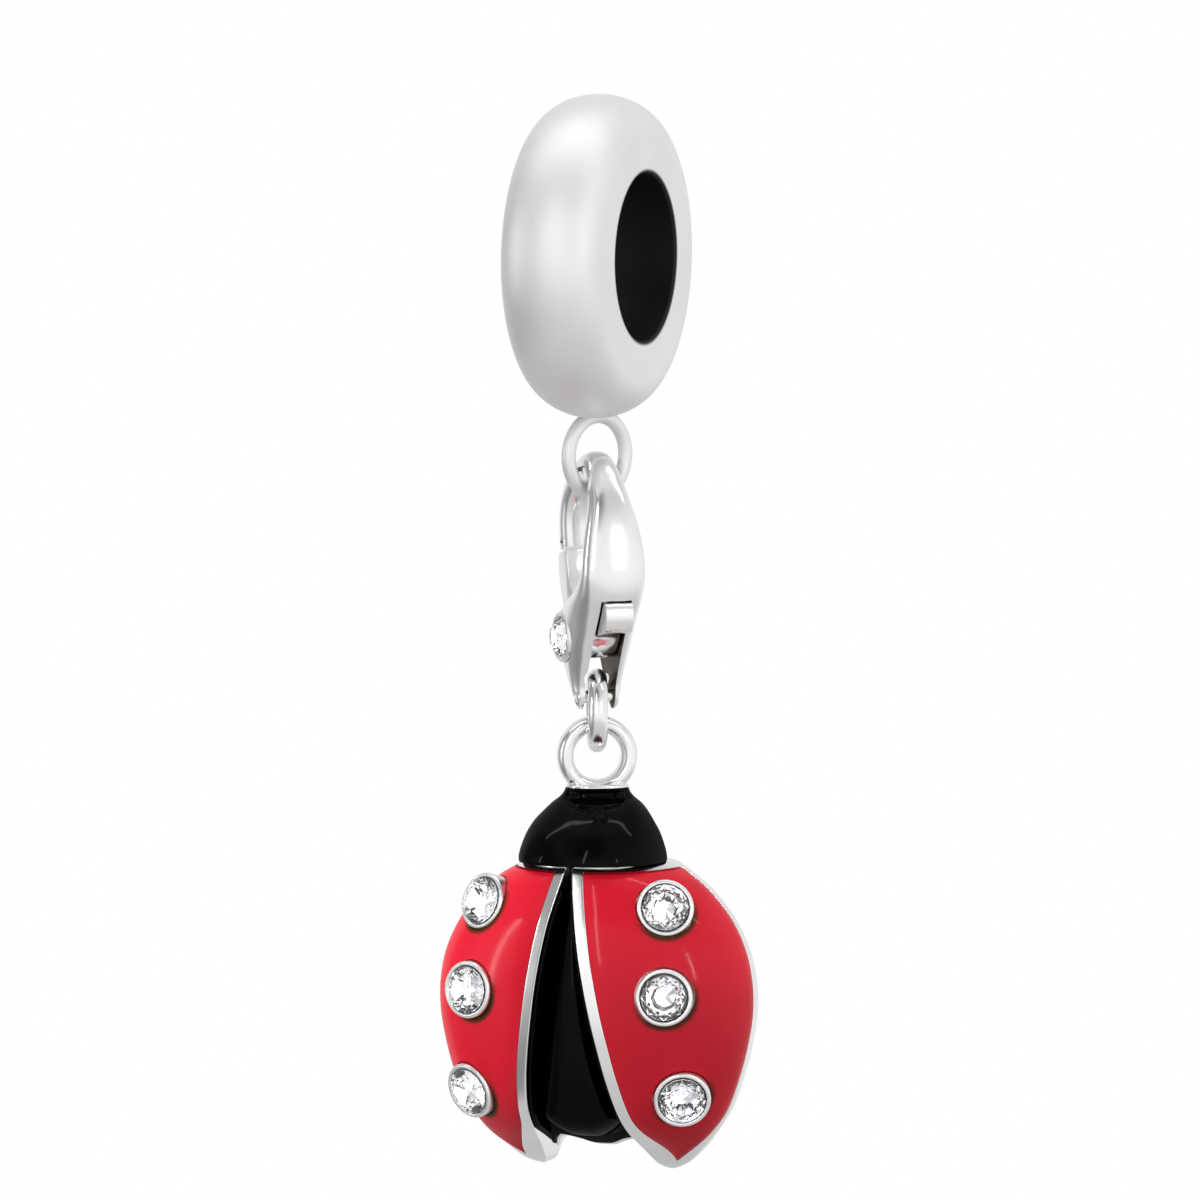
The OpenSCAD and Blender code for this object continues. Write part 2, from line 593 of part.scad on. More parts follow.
// Two small knobs at the ends of the groove under the neck's lip
knob_r = 0.2;
knob_x = 0.72;
knob_y = 0.7;
knob_v = 0.15;
module head_enamel() {
    color([0.03, 0.03, 0.03]) in_bug() {
        head_cap();
        rotate([0, 0, neck_turn(knob_v)]) for (side = [-1, 1])
            translate([side * knob_x, -knob_y, neck_z - knob_v * head_h]) sphere(knob_r, $fn = 32);
    }
}
module body_enamel() {
    color([0.03, 0.03, 0.03]) in_bug() body_cover();
}
module wing_enamel(side) {
    color([0.8, 0.05, 0.1]) in_bug() both_sides(side) difference() {
        wing_panel();
        cup_sockets(2 * seat_gap);
    }
}
module wing_cup(n) {
    color("silver") in_bug() both_sides(n > 3 ? 1 : -1) on_wing((n - 1) % 3)
        translate([0, 0, seat_gap]) cup(cup_d, stone_d, cup_h);
}
module wing_crystal(n) {
    color("white") in_bug() both_sides(n > 3 ? 1 : -1) on_wing((n - 1) % 3)
        translate([0, 0, seat_gap + cup_h]) stone(stone_d);
}

bead();
clasp_body();
clasp_lever();
lever_pin();
link_pin();
clasp_cup();
clasp_crystal();
jump_ring();
ladybug_casting();
head_enamel();
body_enamel();
wing_enamel(-1);  // wing_enamel_left
wing_enamel(1);  // wing_enamel_right
for (n = [1:6]) wing_cup(n);
for (n = [1:6]) wing_crystal(n);
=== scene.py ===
import bpy
import bmesh
import math
import numpy as np
from numpy import linspace
from mathutils import Matrix, Vector


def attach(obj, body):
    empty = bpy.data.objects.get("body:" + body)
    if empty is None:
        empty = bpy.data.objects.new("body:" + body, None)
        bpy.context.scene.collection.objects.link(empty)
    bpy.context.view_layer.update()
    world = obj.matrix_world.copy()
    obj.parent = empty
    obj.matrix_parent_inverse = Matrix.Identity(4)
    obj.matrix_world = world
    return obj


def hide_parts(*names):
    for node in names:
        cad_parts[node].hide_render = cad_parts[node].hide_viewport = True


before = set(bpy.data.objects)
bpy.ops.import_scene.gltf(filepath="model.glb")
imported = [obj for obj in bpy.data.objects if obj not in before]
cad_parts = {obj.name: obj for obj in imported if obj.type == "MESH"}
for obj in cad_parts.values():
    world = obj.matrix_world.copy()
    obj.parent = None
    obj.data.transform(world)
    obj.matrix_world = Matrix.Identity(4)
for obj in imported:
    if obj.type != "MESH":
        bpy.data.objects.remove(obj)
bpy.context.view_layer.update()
mm = 0.001  # every size below is in millimetres
flip = Matrix.Scale(-1, 4, Vector((1, 0, 0)))  # left for right
print("frame loaded with", len(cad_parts), "nodes")


# small helpers

def mix(a, b, k):
    return a + (b - a) * k


def power(x, e):
    return math.copysign(abs(x) ** e, x)


def ease(k):
    return k * k * (3 - 2 * k)


def clamp(x, low=0.0, high=1.0):
    return max(low, min(high, x))


def sine(degrees):
    return math.sin(math.radians(degrees))


def cosine(degrees):
    return math.cos(math.radians(degrees))


def turnedBy(p, degrees):
    c, s = cosine(degrees), sine(degrees)
    return np.array([p[0] * c - p[1] * s, p[0] * s + p[1] * c, p[2]])


def moved(x, y, z):
    return Matrix.Translation(Vector((x, y, z)) * mm)


def spun(degrees, axis):
    return Matrix.Rotation(math.radians(degrees), 4, axis)


def circle(radius, steps, z=0.0):
    return [np.array([radius * math.cos(a), radius * math.sin(a), z])
            for a in (2 * math.pi * i / steps for i in range(steps))]


def tableAt(rows, v, column):
    # smooth curve through a table's rows, column 0 being the share along
    i = 0
    while i < len(rows) - 2 and rows[i + 1][0] <= v:
        i += 1
    low, high = rows[i], rows[i + 1]
    h = high[0] - low[0]
    u = (v - low[0]) / h

    def slope(k):
        a, b = rows[max(k - 1, 0)], rows[min(k + 1, len(rows) - 1)]
        return (b[column] - a[column]) / (b[0] - a[0])

    return ((2 * u ** 3 - 3 * u ** 2 + 1) * low[column] + (u ** 3 - 2 * u ** 2 + u) * h * slope(i)
            + (3 * u ** 2 - 2 * u ** 3) * high[column] + (u ** 3 - u ** 2) * h * slope(i + 1))


def roundLoop(points, radii, steps=5):
    # a closed loop with its corners rounded
    loop = []
    for i, (p, r) in enumerate(zip(points, radii)):
        if r == 0:
            loop.append(p)
            continue
        toLast, toNext = points[i - 1] - p, points[(i + 1) % len(points)] - p
        a, b = np.linalg.norm(toLast), np.linalg.norm(toNext)
        start = p + toLast / a * min(r, a * 0.48)
        end = p + toNext / b * min(r, b * 0.48)
        for t in (k / steps for k in range(steps + 1)):
            loop.append((1 - t) ** 2 * start + 2 * t * (1 - t) * p + t * t * end)
    return loop


def placed(name, data):
    obj = bpy.data.objects.new(name, data)
    bpy.context.collection.objects.link(obj)
    return obj


def addMesh(name, points, faces):
    mesh = bpy.data.meshes.new(name)
    mesh.from_pydata([tuple(float(x) * mm for x in p) for p in points], [], faces)
    work = bmesh.new()
    work.from_mesh(mesh)
    bmesh.ops.recalc_face_normals(work, faces=work.faces)
    work.to_mesh(mesh)
    work.free()
    return placed(name, mesh)


def quads(rows, n, closed=False):
    # faces between rows of n points, each row closed on itself
    return [(i * n + j, i * n + (j + 1) % n, (i + 1) % rows * n + (j + 1) % n, (i + 1) % rows * n + j)
            for i in range(rows if closed else rows - 1) for j in range(n)]


def skin(name, rings, place=None):
    # closed solid through rings of equal length
    n, m = len(rings[0]), len(rings)
    points = [p for ring in rings for p in ring] + [np.mean(rings[0], axis=0), np.mean(rings[-1], axis=0)]
    faces = quads(m, n)
    for j in range(n):
        k = (j + 1) % n
        faces += [(k, j, m * n), ((m - 1) * n + j, (m - 1) * n + k, m * n + 1)]
    return addMesh(name, [place(p) for p in points] if place else points, faces)


def layer(name, upper, lower, place):
    # closed sheet between an upper and a lower grid of points
    rings = [list(a) + list(b)[::-1] for a, b in zip(upper, lower)]
    n, m = len(rings[0]), len(rings)
    faces, e = quads(m, n), (m - 1) * n
    for j in range(n // 2 - 1):
        faces += [(j + 1, j, n - 1 - j, n - 2 - j), (e + j, e + j + 1, e + n - 2 - j, e + n - 1 - j)]
    return addMesh(name, [place(p) for ring in rings for p in ring], faces)


def lathe(name, profile, steps, place):
    # profile of radius and height turned about Z, closed on itself
    points = []
    for a in (2 * math.pi * i / steps for i in range(steps)):
        points += [place(np.array([r * math.cos(a), r * math.sin(a), z])) for r, z in profile]
    return addMesh(name, points, quads(steps, len(profile), True))


def settle(obj):
    # the evaluated shape becomes a plain mesh
    graph = bpy.context.evaluated_depsgraph_get()
    mesh = bpy.data.meshes.new_from_object(obj.evaluated_get(graph))
    obj.modifiers.clear()
    obj.data = mesh
    return obj


def combine(obj, operation, *tools):
    for tool in tools:
        step = obj.modifiers.new("combine", "BOOLEAN")
        step.operation = operation
        step.solver = "MANIFOLD"
        step.object = tool
        settle(obj)
        bpy.data.objects.remove(tool)
    return obj


def cut(obj, *tools):
    return combine(obj, "DIFFERENCE", *tools)


def smooth(obj, angle):
    obj.data.shade_smooth()
    obj.data.set_sharp_from_angle(angle=math.radians(angle))
    return obj


def mirrored(obj, name):
    mesh = obj.data.copy()
    mesh.transform(flip)
    mesh.flip_normals()
    return placed(name, mesh)


def dress(obj, *materials):
    obj.data.materials.clear()
    for material in materials:
        obj.data.materials.append(material)
    return obj


def finished(obj, name, body, slot, material, *nodes):
    # name, finish, body and CAD nodes of one piece
    obj.name = name
    if material:
        dress(obj, material)
    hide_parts(*nodes)
    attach(obj, body)
    return obj


# nodes and shader groups

def newGroup(name, kind, inputs, outputs):
    # the tree, the sockets it is given and the sockets of its result
    tree = bpy.data.node_groups.new(name, kind)
    for label, socket, *value in inputs:
        made = tree.interface.new_socket(name=label, in_out="INPUT", socket_type="NodeSocket" + socket)
        if value:
            made.default_value = value[0]
    for label, socket in outputs:
        tree.interface.new_socket(name=label, in_out="OUTPUT", socket_type="NodeSocket" + socket)
    return tree, tree.nodes.new("NodeGroupInput").outputs, tree.nodes.new("NodeGroupOutput").inputs


def node(tree, kind, inputs=None, **settings):
    # a short kind takes the tree's prefix, an input a value or another node's socket; gives the node's outputs
    made = tree.nodes.new(kind if "Node" in kind else tree.bl_idname.replace("Tree", kind))
    for key, value in settings.items():
        setattr(made, key, value)
    for key, value in (inputs or {}).items():
        if isinstance(value, bpy.types.NodeSocket):
            tree.links.new(value, made.inputs[key])
        else:
            made.inputs[key].default_value = value
    return made.outputs


def mathNode(tree, operation, a, b, clampIt=False):
    return node(tree, "ShaderNodeMath", {0: a, 1: b}, operation=operation, use_clamp=clampIt)[0]


def colourMix(tree, factor, a, b, blend="MIX"):
    return node(tree, "Mix", {"Factor": factor, "A": a, "B": b}, data_type="RGBA", blend_type=blend)["Result"]


def makeFineWear():
    # hairline scratches and soft handling marks, shared by metal and enamel
    tree, given, result = newGroup("fineWear", "ShaderNodeTree",
        [("Vector", "Vector"), ("Scratch Scale", "Float", 2600.0), ("Cloud Scale", "Float", 420.0)],
        [("Height", "Float"), ("Cloud", "Float")])
    stretch = node(tree, "Mapping", {"Vector": given["Vector"], "Scale": (1, 1, 0.18), "Rotation": (0.4, 0.5, 0.2)})
    hair = node(tree, "TexNoise", {"Vector": stretch[0], "Scale": given["Scratch Scale"],
                                   "Detail": 4, "Roughness": 0.62})
    cloud = node(tree, "TexNoise", {"Vector": given["Vector"], "Scale": given["Cloud Scale"],
                                    "Detail": 3, "Roughness": 0.5})["Fac"]
    height = mathNode(tree, "ADD", hair["Fac"], mathNode(tree, "MULTIPLY", cloud, 1.5))
    tree.links.new(height, result["Height"])
    tree.links.new(cloud, result["Cloud"])
    return tree


def makeTwoTone():
    # slow shift between two close tones
    tree, given, result = newGroup("twoTone", "ShaderNodeTree",
        [("Mask", "Float", 0.5), ("Light Tone", "Color", (1, 1, 1, 1)), ("Deep Tone", "Color", (0.8, 0.8, 0.8, 1))],
        [("Color", "Color")])
    spread = node(tree, "MapRange", {"Value": given["Mask"], "From Min": 0.35, "From Max": 0.65})
    tree.links.new(colourMix(tree, spread[0], given["Deep Tone"], given["Light Tone"]), result["Color"])
    return tree


def makeNearAxis():
    # mask: 1 inside a given distance from the X axis
    tree, given, result = newGroup("nearAxis", "ShaderNodeTree",
        [("Vector", "Vector"), ("Radius", "Float", 0.003), ("Soft", "Float", 0.0001)], [("Mask", "Float")])
    split = node(tree, "SeparateXYZ", {0: given["Vector"]})
    squares = mathNode(tree, "ADD", *[mathNode(tree, "POWER", split[axis], 2) for axis in ("Y", "Z")])
    beyond = mathNode(tree, "SUBTRACT", mathNode(tree, "SQRT", squares, 0), given["Radius"])
    share = mathNode(tree, "DIVIDE", beyond, given["Soft"], True)
    tree.links.new(mathNode(tree, "SUBTRACT", 1, share), result["Mask"])
    return tree


fineWear, twoTone, nearAxis = makeFineWear(), makeTwoTone(), makeNearAxis()

finishes = {
    "polishedSilver": {"light": (0.95, 0.947, 0.94), "deep": (0.9, 0.9, 0.9), "metal": 1.0, "rough": (0.16, 0.23),
        "scratch": 3200, "cloud": 700, "bump": 0.05},
    "satinSilver": {"light": (0.94, 0.94, 0.94), "deep": (0.9, 0.9, 0.905), "metal": 1.0, "rough": (0.53, 0.6),
        # painted shade: "bore" darkens the bead's bore
        "scratch": 4200, "cloud": 380, "bump": 0.06, "bore": (0.03, 0.028, 0.027), "boreShadeRadius": 2.87},
    "softSilver": {"light": (0.97, 0.97, 0.965), "deep": (0.93, 0.93, 0.93), "metal": 1.0, "rough": (0.3, 0.38),
        "scratch": 3600, "cloud": 900, "bump": 0.06},
    # painted shade: dark silver for the clasp slot's walls
    "paintedShadeSilver": {"light": (0.10, 0.08, 0.06), "deep": (0.03, 0.022, 0.016), "metal": 1.0, "rough": (0.3, 0.45),
        "scratch": 3200, "cloud": 900, "bump": 0.1},
    "redEnamel": {"light": (0.80, 0.014, 0.036), "deep": (0.70, 0.009, 0.026), "rough": (0.35, 0.45),
        # the "edge" colour is the painted shadow's brown round the cups
        "scratch": 900, "cloud": 260, "bump": 0.02, "edge": (0.09, 0.022, 0.001),
        "sockets": {"Specular IOR Level": 0.0, "Coat Weight": 0.36, "Coat Roughness": 0.12}},
    "blackEnamel": {"light": (0.002, 0.0016, 0.0014), "deep": (0.001, 0.001, 0.001),
        "rough": (0.35, 0.45), "scratch": 900, "cloud": 300, "bump": 0.02,
        "sockets": {"Specular IOR Level": 0.0, "Coat Weight": 0.14, "Coat Roughness": 0.08}},
    "clearCrystal": {"light": (1.0, 1.0, 1.0), "deep": (0.96, 0.97, 0.99), "rough": (0.0, 0.03),
        "scratch": 2600, "cloud": 1500, "sockets": {"Transmission Weight": 0.94, "IOR": 1.58}},
    "stoneFoil": {"light": (1.0, 1.0, 1.0), "deep": (0.74, 0.75, 0.77), "metal": 1.0, "rough": (0.03, 0.08),
        "scratch": 2600, "cloud": 2500, "facets": 0.1}}


def newMaterial(name):
    material = bpy.data.materials.new(name)
    material.use_nodes = True
    return material, material.node_tree, material.node_tree.nodes["Principled BSDF"]


def makeFinish(name):
    look = finishes[name]
    material, tree, principled = newMaterial(name)
    shader = principled.inputs
    place = node(tree, "TexCoord")["Object"]
    wear = node(tree, "Group", node_tree=fineWear,
                inputs={"Vector": place, "Scratch Scale": look["scratch"], "Cloud Scale": look["cloud"]})
    mask = wear["Cloud"]
    # painted reflection: the foil's facet tones stand in for facets catching light differently
    if "facets" in look:  # each facet has its own tone
        facet = node(tree, "Attribute", attribute_name="facet")["Fac"]
        mask = mathNode(tree, "ADD", facet, mathNode(tree, "MULTIPLY", mask, look["facets"]))
    colour = node(tree, "Group", node_tree=twoTone,
                  inputs={"Mask": mask, "Light Tone": (*look["light"], 1), "Deep Tone": (*look["deep"], 1)})[0]
    # painted shade: the bore is darkened, standing in for the shade inside it
    if "bore" in look:  # the bore is left dark
        near = node(tree, "Group", {"Vector": place, "Radius": look["boreShadeRadius"] * mm}, node_tree=nearAxis)
        colour = colourMix(tree, near["Mask"], colour, (*look["bore"], 1))
    # painted shadow: the cups' shade on the enamel, mixed in as brown
    if "edge" in look:  # brown line where the enamel meets the cups
        mark = node(tree, "Attribute", attribute_name="cupShadow")
        colour = colourMix(tree, mark["Fac"], colour, (*look["edge"], 1))
    tree.links.new(colour, shader["Base Color"])
    span = (0.3, 0.7) if "bump" in look else (0.0, 1.0)
    rough = node(tree, "MapRange", {"Value": wear["Cloud"], "From Min": span[0], "From Max": span[1],
                                    "To Min": look["rough"][0], "To Max": look["rough"][1]})
    tree.links.new(rough[0], shader["Roughness"])
    if "bump" in look:
        bump = node(tree, "Bump", {"Strength": look["bump"], "Distance": 0.04 * mm, "Height": wear["Height"]})
        tree.links.new(bump[0], shader["Normal"])
    shader["Metallic"].default_value = look.get("metal", 0.0)
    for socket, value in look.get("sockets", {}).items():
        shader[socket].default_value = value
    return material


(polishedSilver, satinSilver, softSilver, paintedShadeSilver, redEnamel, blackEnamel, clearCrystal,
 stoneFoil) = [makeFinish(name) for name in finishes]
print("materials made")


# geometry node trees

def painted(tree, geometry, given, result):
    real = node(tree, "GeometryNodeRealizeInstances", {0: geometry})
    paint = node(tree, "GeometryNodeSetMaterial", {"Geometry": real[0], "Material": given["Material"]})
    tree.links.new(paint[0], result["Geometry"])
    return tree


def makeWireRing():
    # upright ring of round wire, thickened by solder above a given height
    tree, given, result = newGroup("wireRing", "GeometryNodeTree",
        [("Diameter", "Float", 3.0), ("Wire", "Float", 0.5), ("Height", "Float", 0.0), ("Turn", "Float", 0.0),
         ("Solder From", "Float", 100.0), ("Solder Growth", "Float", 0.0), ("Material", "Material")],
        [("Geometry", "Geometry")])

    def times(a, b):
        return mathNode(tree, "MULTIPLY", a, b)

    radius = times(mathNode(tree, "SUBTRACT", given["Diameter"], given["Wire"]), 0.5 * mm)
    path = node(tree, "CurvePrimitiveCircle", {"Resolution": 144, "Radius": radius})
    upright = node(tree, "Transform", {"Geometry": path[0], "Rotation": (math.pi / 2, 0, 0)})
    spin = node(tree, "ShaderNodeCombineXYZ", {"Z": given["Turn"]})
    lift = node(tree, "ShaderNodeCombineXYZ", {"Z": times(given["Height"], mm)})
    turned = node(tree, "Transform", {"Geometry": upright[0], "Rotation": spin[0], "Translation": lift[0]})
    spot = node(tree, "ShaderNodeSeparateXYZ", {0: node(tree, "InputPosition")[0]})
    above = mathNode(tree, "SUBTRACT", spot["Z"], times(given["Solder From"], mm))
    share = mathNode(tree, "DIVIDE", above, 0.35 * mm, True)
    growth = times(times(share, share), given["Solder Growth"])
    swollen = node(tree, "SetCurveRadius", {0: turned[0], "Radius": mathNode(tree, "ADD", growth, 1.0)})
    section = node(tree, "CurvePrimitiveCircle", {"Resolution": 40, "Radius": times(given["Wire"], 0.5 * mm)})
    sweep = node(tree, "CurveToMesh", {"Curve": swollen[0], "Profile Curve": section[0]})
    return painted(tree, sweep[0], given, result)


def makeSetInPlace():
    # one shape set at every point, turned by the point's own angles
    tree, given, result = newGroup("setInPlace", "GeometryNodeTree",
        [("Places", "Geometry"), ("Shape", "Object"), ("Size", "Float", 1.0), ("Material", "Material")],
        [("Geometry", "Geometry")])
    shape = node(tree, "ObjectInfo", {"Object": given["Shape"]})
    angles = node(tree, "InputNamedAttribute", {"Name": "angles"}, data_type="FLOAT_VECTOR")
    turn = node(tree, "FunctionNodeEulerToRotation", {0: angles["Attribute"]})
    spread = node(tree, "InstanceOnPoints", {"Points": given["Places"], "Instance": shape["Geometry"],
                                             "Rotation": turn[0], "Scale": given["Size"]})
    return painted(tree, spread[0], given, result)


wireRing, setInPlace = makeWireRing(), makeSetInPlace()


def fromTree(name, mesh, tree, values):
    # inputs are set by the socket's identifier
    obj = placed(name, mesh)
    step = obj.modifiers.new(tree.name, "NODES")
    step.node_group = tree
    for item in tree.interface.items_tree:
        if item.item_type == "SOCKET" and item.in_out == "INPUT" and item.name in values:
            step[item.identifier] = values[item.name]
    return settle(obj)


def ringPiece(name, values, material):
    return fromTree(name, bpy.data.meshes.new(name), wireRing, {**values, "Material": material})


def setPiece(name, places, shape, material):
    # places: list of matrices
    mesh = bpy.data.meshes.new(name)
    mesh.from_pydata([tuple(m.to_translation()) for m in places], [], [])
    angles = mesh.attributes.new("angles", "FLOAT_VECTOR", "POINT")
    for item, m in zip(angles.data, places):
        item.vector = tuple(m.to_euler("XYZ"))
    piece = fromTree(name, mesh, setInPlace, {"Shape": shape, "Size": 1.0, "Material": material})
    bpy.data.objects.remove(shape)
    return piece


def leaveRoom(piece, ring, swings, room=0.07):
    # frees a ring's path: each swing is a list of turns (centre, axis's angle, degrees), done in order
    wide = {**ring, "Diameter": ring["Diameter"] + room, "Wire": ring["Wire"] + room}
    for turns in swings:
        tool = ringPiece("room", wide, paintedShadeSilver)
        for centre, heading, angle in turns:
            middle, axis = moved(*centre), Vector((cosine(heading), sine(heading), 0))
            tool.data.transform(middle @ spun(angle, axis) @ middle.inverted())
        cut(piece, tool)
    return piece


# bead and its loop

bead = {"diameter": 10.8, "width": 3.5, "bore": 5.6, "rim": 1.25, "bevel": 0.08, "edgeRound": 0.1, "bevelRound": 0.04,
        "loop": 3.1, "loopWire": 0.48, "loopSink": 0.3, "loopTurn": 25, "solder": 0.55, "solderZ": -5.62}
loopZ = -(bead["diameter"] / 2 - bead["loopSink"] + bead["loop"] / 2)
beadLoop = {"Diameter": bead["loop"], "Wire": bead["loopWire"], "Height": loopZ,
            "Turn": math.radians(90 - bead["loopTurn"])}


def makeBead():
    r, w, hole, rim, b = bead["diameter"] / 2, bead["width"], bead["bore"] / 2, bead["rim"], bead["bevel"]
    arc = [(r - rim + rim * sine(a), w / 2 * cosine(a)) for a in linspace(0, 180, 49)]
    corners = arc + [(hole + b, -w / 2), (hole, -w / 2 + b), (hole, w / 2 - b), (hole + b, w / 2)]
    radii = [bead["edgeRound"]] + [0] * (len(arc) - 2) + [bead["edgeRound"]] + [bead["bevelRound"]] * 4
    profile = roundLoop([np.array(p) for p in corners], radii)
    ring = lathe("beadRing", profile, 192, lambda p: np.array([p[2], p[0], p[1]]))
    solder = {"Solder From": bead["solderZ"], "Solder Growth": bead["solder"]}
    return combine(ring, "UNION", ringPiece("beadLoop", {**beadLoop, **solder}, satinSilver))


finished(smooth(makeBead(), 40), "beadPiece", "bead", "silver", satinSilver, "bead")
print("bead made")


# clasp

clasp = {"length": 8.6, "width": 4.5, "thickness": 2.3, "turn": 41, "slot": 1.08, "slotTop": 0.562,
         "gateSlot": (-0.09, 0.50), "hookTop": 0.134, "hang": 0.04, "sides": 72, "box": 0.82, "tail": 0.951,
         "pivot": (-0.49, 0.727), "leverRivet": 0.5, "linkRivet": 0.44, "rivetDome": 0.07, "seat": 0.02,
         "cupPlace": (-0.2, 0.72), "cupIn": 0.42, "cupHeight": 0.42, "cup": 1.7, "stone": 1.3, "lip": 0.09,
         "leverGap": 0.05, "leverPinGap": 0.03, "leverRound": 0.1, "leverRivetShare": 0.78, "linkRivetShare": 0.64,
         "hookSwings": (0, 7.5, 15, 22.5, 30), "linkSwings": (-20, -10, 0, 24, 35), "leverOpen": 20,
         "openLinkSwings": (0, 12, 24, 35)}
claspRows = [  # outer edge u and z, inner edge u and z, half thickness
    (-1.08, 0.405, -0.71, 0.38, 0.46), (-1.08, 0.3, -0.7, 0.29, 0.5), (-1.02, 0.205, -0.64, 0.226, 0.5),
    (-0.86, 0.13, -0.51, 0.186, 0.49), (-0.6, 0.064, -0.35, 0.157, 0.48), (-0.3, 0.018, -0.17, 0.139, 0.47),
    (0, 0, 0, 0.134, 0.47), (0.27, 0.036, 0.14, 0.146, 0.5), (0.49, 0.099, 0.25, 0.176, 0.56),
    (0.67, 0.163, 0.34, 0.217, 0.63), (0.8, 0.233, 0.4, 0.268, 0.74), (0.89, 0.314, 0.43, 0.328, 0.85),
    (0.935, 0.407, 0.46, 0.4, 0.93), (0.94, 0.477, 0.42, 0.459, 0.96), (0.9, 0.552, 0.09, 0.523, 0.98),
    (0.8, 0.616, -0.33, 0.57, 1), (0.645, 0.686, -0.645, 0.628, 1), (0.49, 0.756, -0.72, 0.698, 0.98),
    (0.38, 0.814, -0.67, 0.767, 0.91), (0.275, 0.866, -0.53, 0.831, 0.83), (0.2, 0.913, -0.38, 0.89, 0.76),
    (0.18, 0.953, -0.22, 0.942, 0.7), (0.13, 0.983, -0.15, 0.979, 0.64), (0.06, 1, -0.07, 0.999, 0.54)]
leverOutline = [
    (-1.072, 0.415), (-1.075, 0.462), (-1.03, 0.52), (-0.935, 0.585), (-0.82, 0.64), (-0.74, 0.698),
    (-0.7, 0.744), (-0.58, 0.779), (-0.22, 0.8), (0.09, 0.797), (0.29, 0.756), (0.445, 0.709),
    (0.67, 0.695), (0.91, 0.683), (0.99, 0.65), (1.01, 0.61), (0.96, 0.576), (0.8, 0.57),
    (0.1, 0.57), (-0.31, 0.58), (-0.46, 0.572), (-0.56, 0.54), (-0.645, 0.494), (-0.7, 0.44),
    (-0.71, 0.392)]
halfWidth, halfThick, halfSlot = clasp["width"] / 2, clasp["thickness"] / 2, clasp["slot"] / 2
claspTurn = 180 + clasp["turn"]
claspZ = loopZ - bead["loop"] / 2 + bead["loopWire"] + clasp["hang"] + clasp["hookTop"] * clasp["length"]
tailZ = -clasp["tail"] * clasp["length"]
cupX = halfThick - clasp["cupIn"]
link = {"diameter": 2.8, "wire": 0.66, "turn": 23}
linkZ = claspZ + tailZ + clasp["linkRivet"] / 2 + clasp["hang"] - (link["diameter"] / 2 - link["wire"])
linkHinge = (0, 0, claspZ + tailZ)
linkRing = {"Diameter": link["diameter"], "Wire": link["wire"], "Height": linkZ,
            "Turn": math.radians(link["turn"] - 90)}


def spot(u, z):
    return u * halfWidth, -z * clasp["length"]


pivot, cupSpot = spot(*clasp["pivot"]), spot(*clasp["cupPlace"])


def inClasp(p):
    # the clasp's own frame: X to the crystal's side, Y to the spine, Z up from the top of the hook
    return turnedBy(p, claspTurn) + (0, 0, claspZ)


def claspRing(i):
    rows = [(k, *row) for k, row in enumerate(claspRows)]
    out = np.array(spot(tableAt(rows, i, 1), tableAt(rows, i, 2)))
    inner = np.array(spot(tableAt(rows, i, 3), tableAt(rows, i, 4)))
    t = tableAt(rows, i, 5) * halfThick
    ring = []
    for j in range(clasp["sides"]):
        a = -360 * j / clasp["sides"]
        q = mix(inner, out, (1 + power(cosine(a), clasp["box"])) / 2)
        ring.append(np.array([t * power(sine(a), clasp["box"]), q[0], q[1]]))
    return ring


def box(name, low, high):
    corners = [(x, y, z) for x in (low[0], high[0]) for y in (low[1], high[1]) for z in (low[2], high[2])]
    return addMesh(name, [inClasp(c) for c in corners],
                   [(0, 1, 3, 2), (4, 6, 7, 5), (0, 4, 5, 1), (2, 3, 7, 6), (0, 2, 6, 4), (1, 5, 7, 3)])


def rod(name, diameter, place, x0=-3, x1=3, dome=0.0):
    # round bar across the clasp, its ends domed
    turns = linspace(0, 90, 7)[1:] if dome else [90]
    ends = [(sine(a), x0 + dome * (1 - cosine(a))) for a in turns]
    ends += [(sine(a), x1 - dome * (1 - cosine(a))) for a in turns[::-1]]
    return skin(name, [[inClasp((x, place[0] + p[0], place[1] + p[1])) for p in circle(diameter / 2 * share, 48)]
                       for share, x in ends])


def cupFrame():
    # matrix of the clasp crystal's cup, open towards the viewer of the cheek
    return moved(*inClasp((cupX, *cupSpot))) @ spun(claspTurn, "Z") @ spun(90, "Y")


def makeClaspBody():
    n = (len(claspRows) - 1) * 10
    body = skin("claspBody", [claspRing(i / 10) for i in range(n + 1)], inClasp)
    w, far, gap = halfSlot, 20, clasp["seat"]
    cut(body, box("slot", (-w, -far, -far), (w, far, -clasp["slotTop"] * clasp["length"])),
        box("gateSlot", (-w, -far, -far), (w, *spot(*clasp["gateSlot"]))),
        rod("bore", clasp["leverRivet"] + gap, pivot), rod("bore", clasp["linkRivet"] + gap, (0, tailZ)),
        rod("pocket", clasp["cup"] + 2 * gap, cupSpot, cupX))
    hinge = (0, 0, loopZ - (bead["loop"] - bead["loopWire"]) / 2)
    leaveRoom(body, beadLoop, [[(hinge, 90 - bead["loopTurn"], turn)] for turn in clasp["hookSwings"]])
    return leaveRoom(body, linkRing, [[(linkHinge, claspTurn, turn)] for turn in clasp["linkSwings"]])


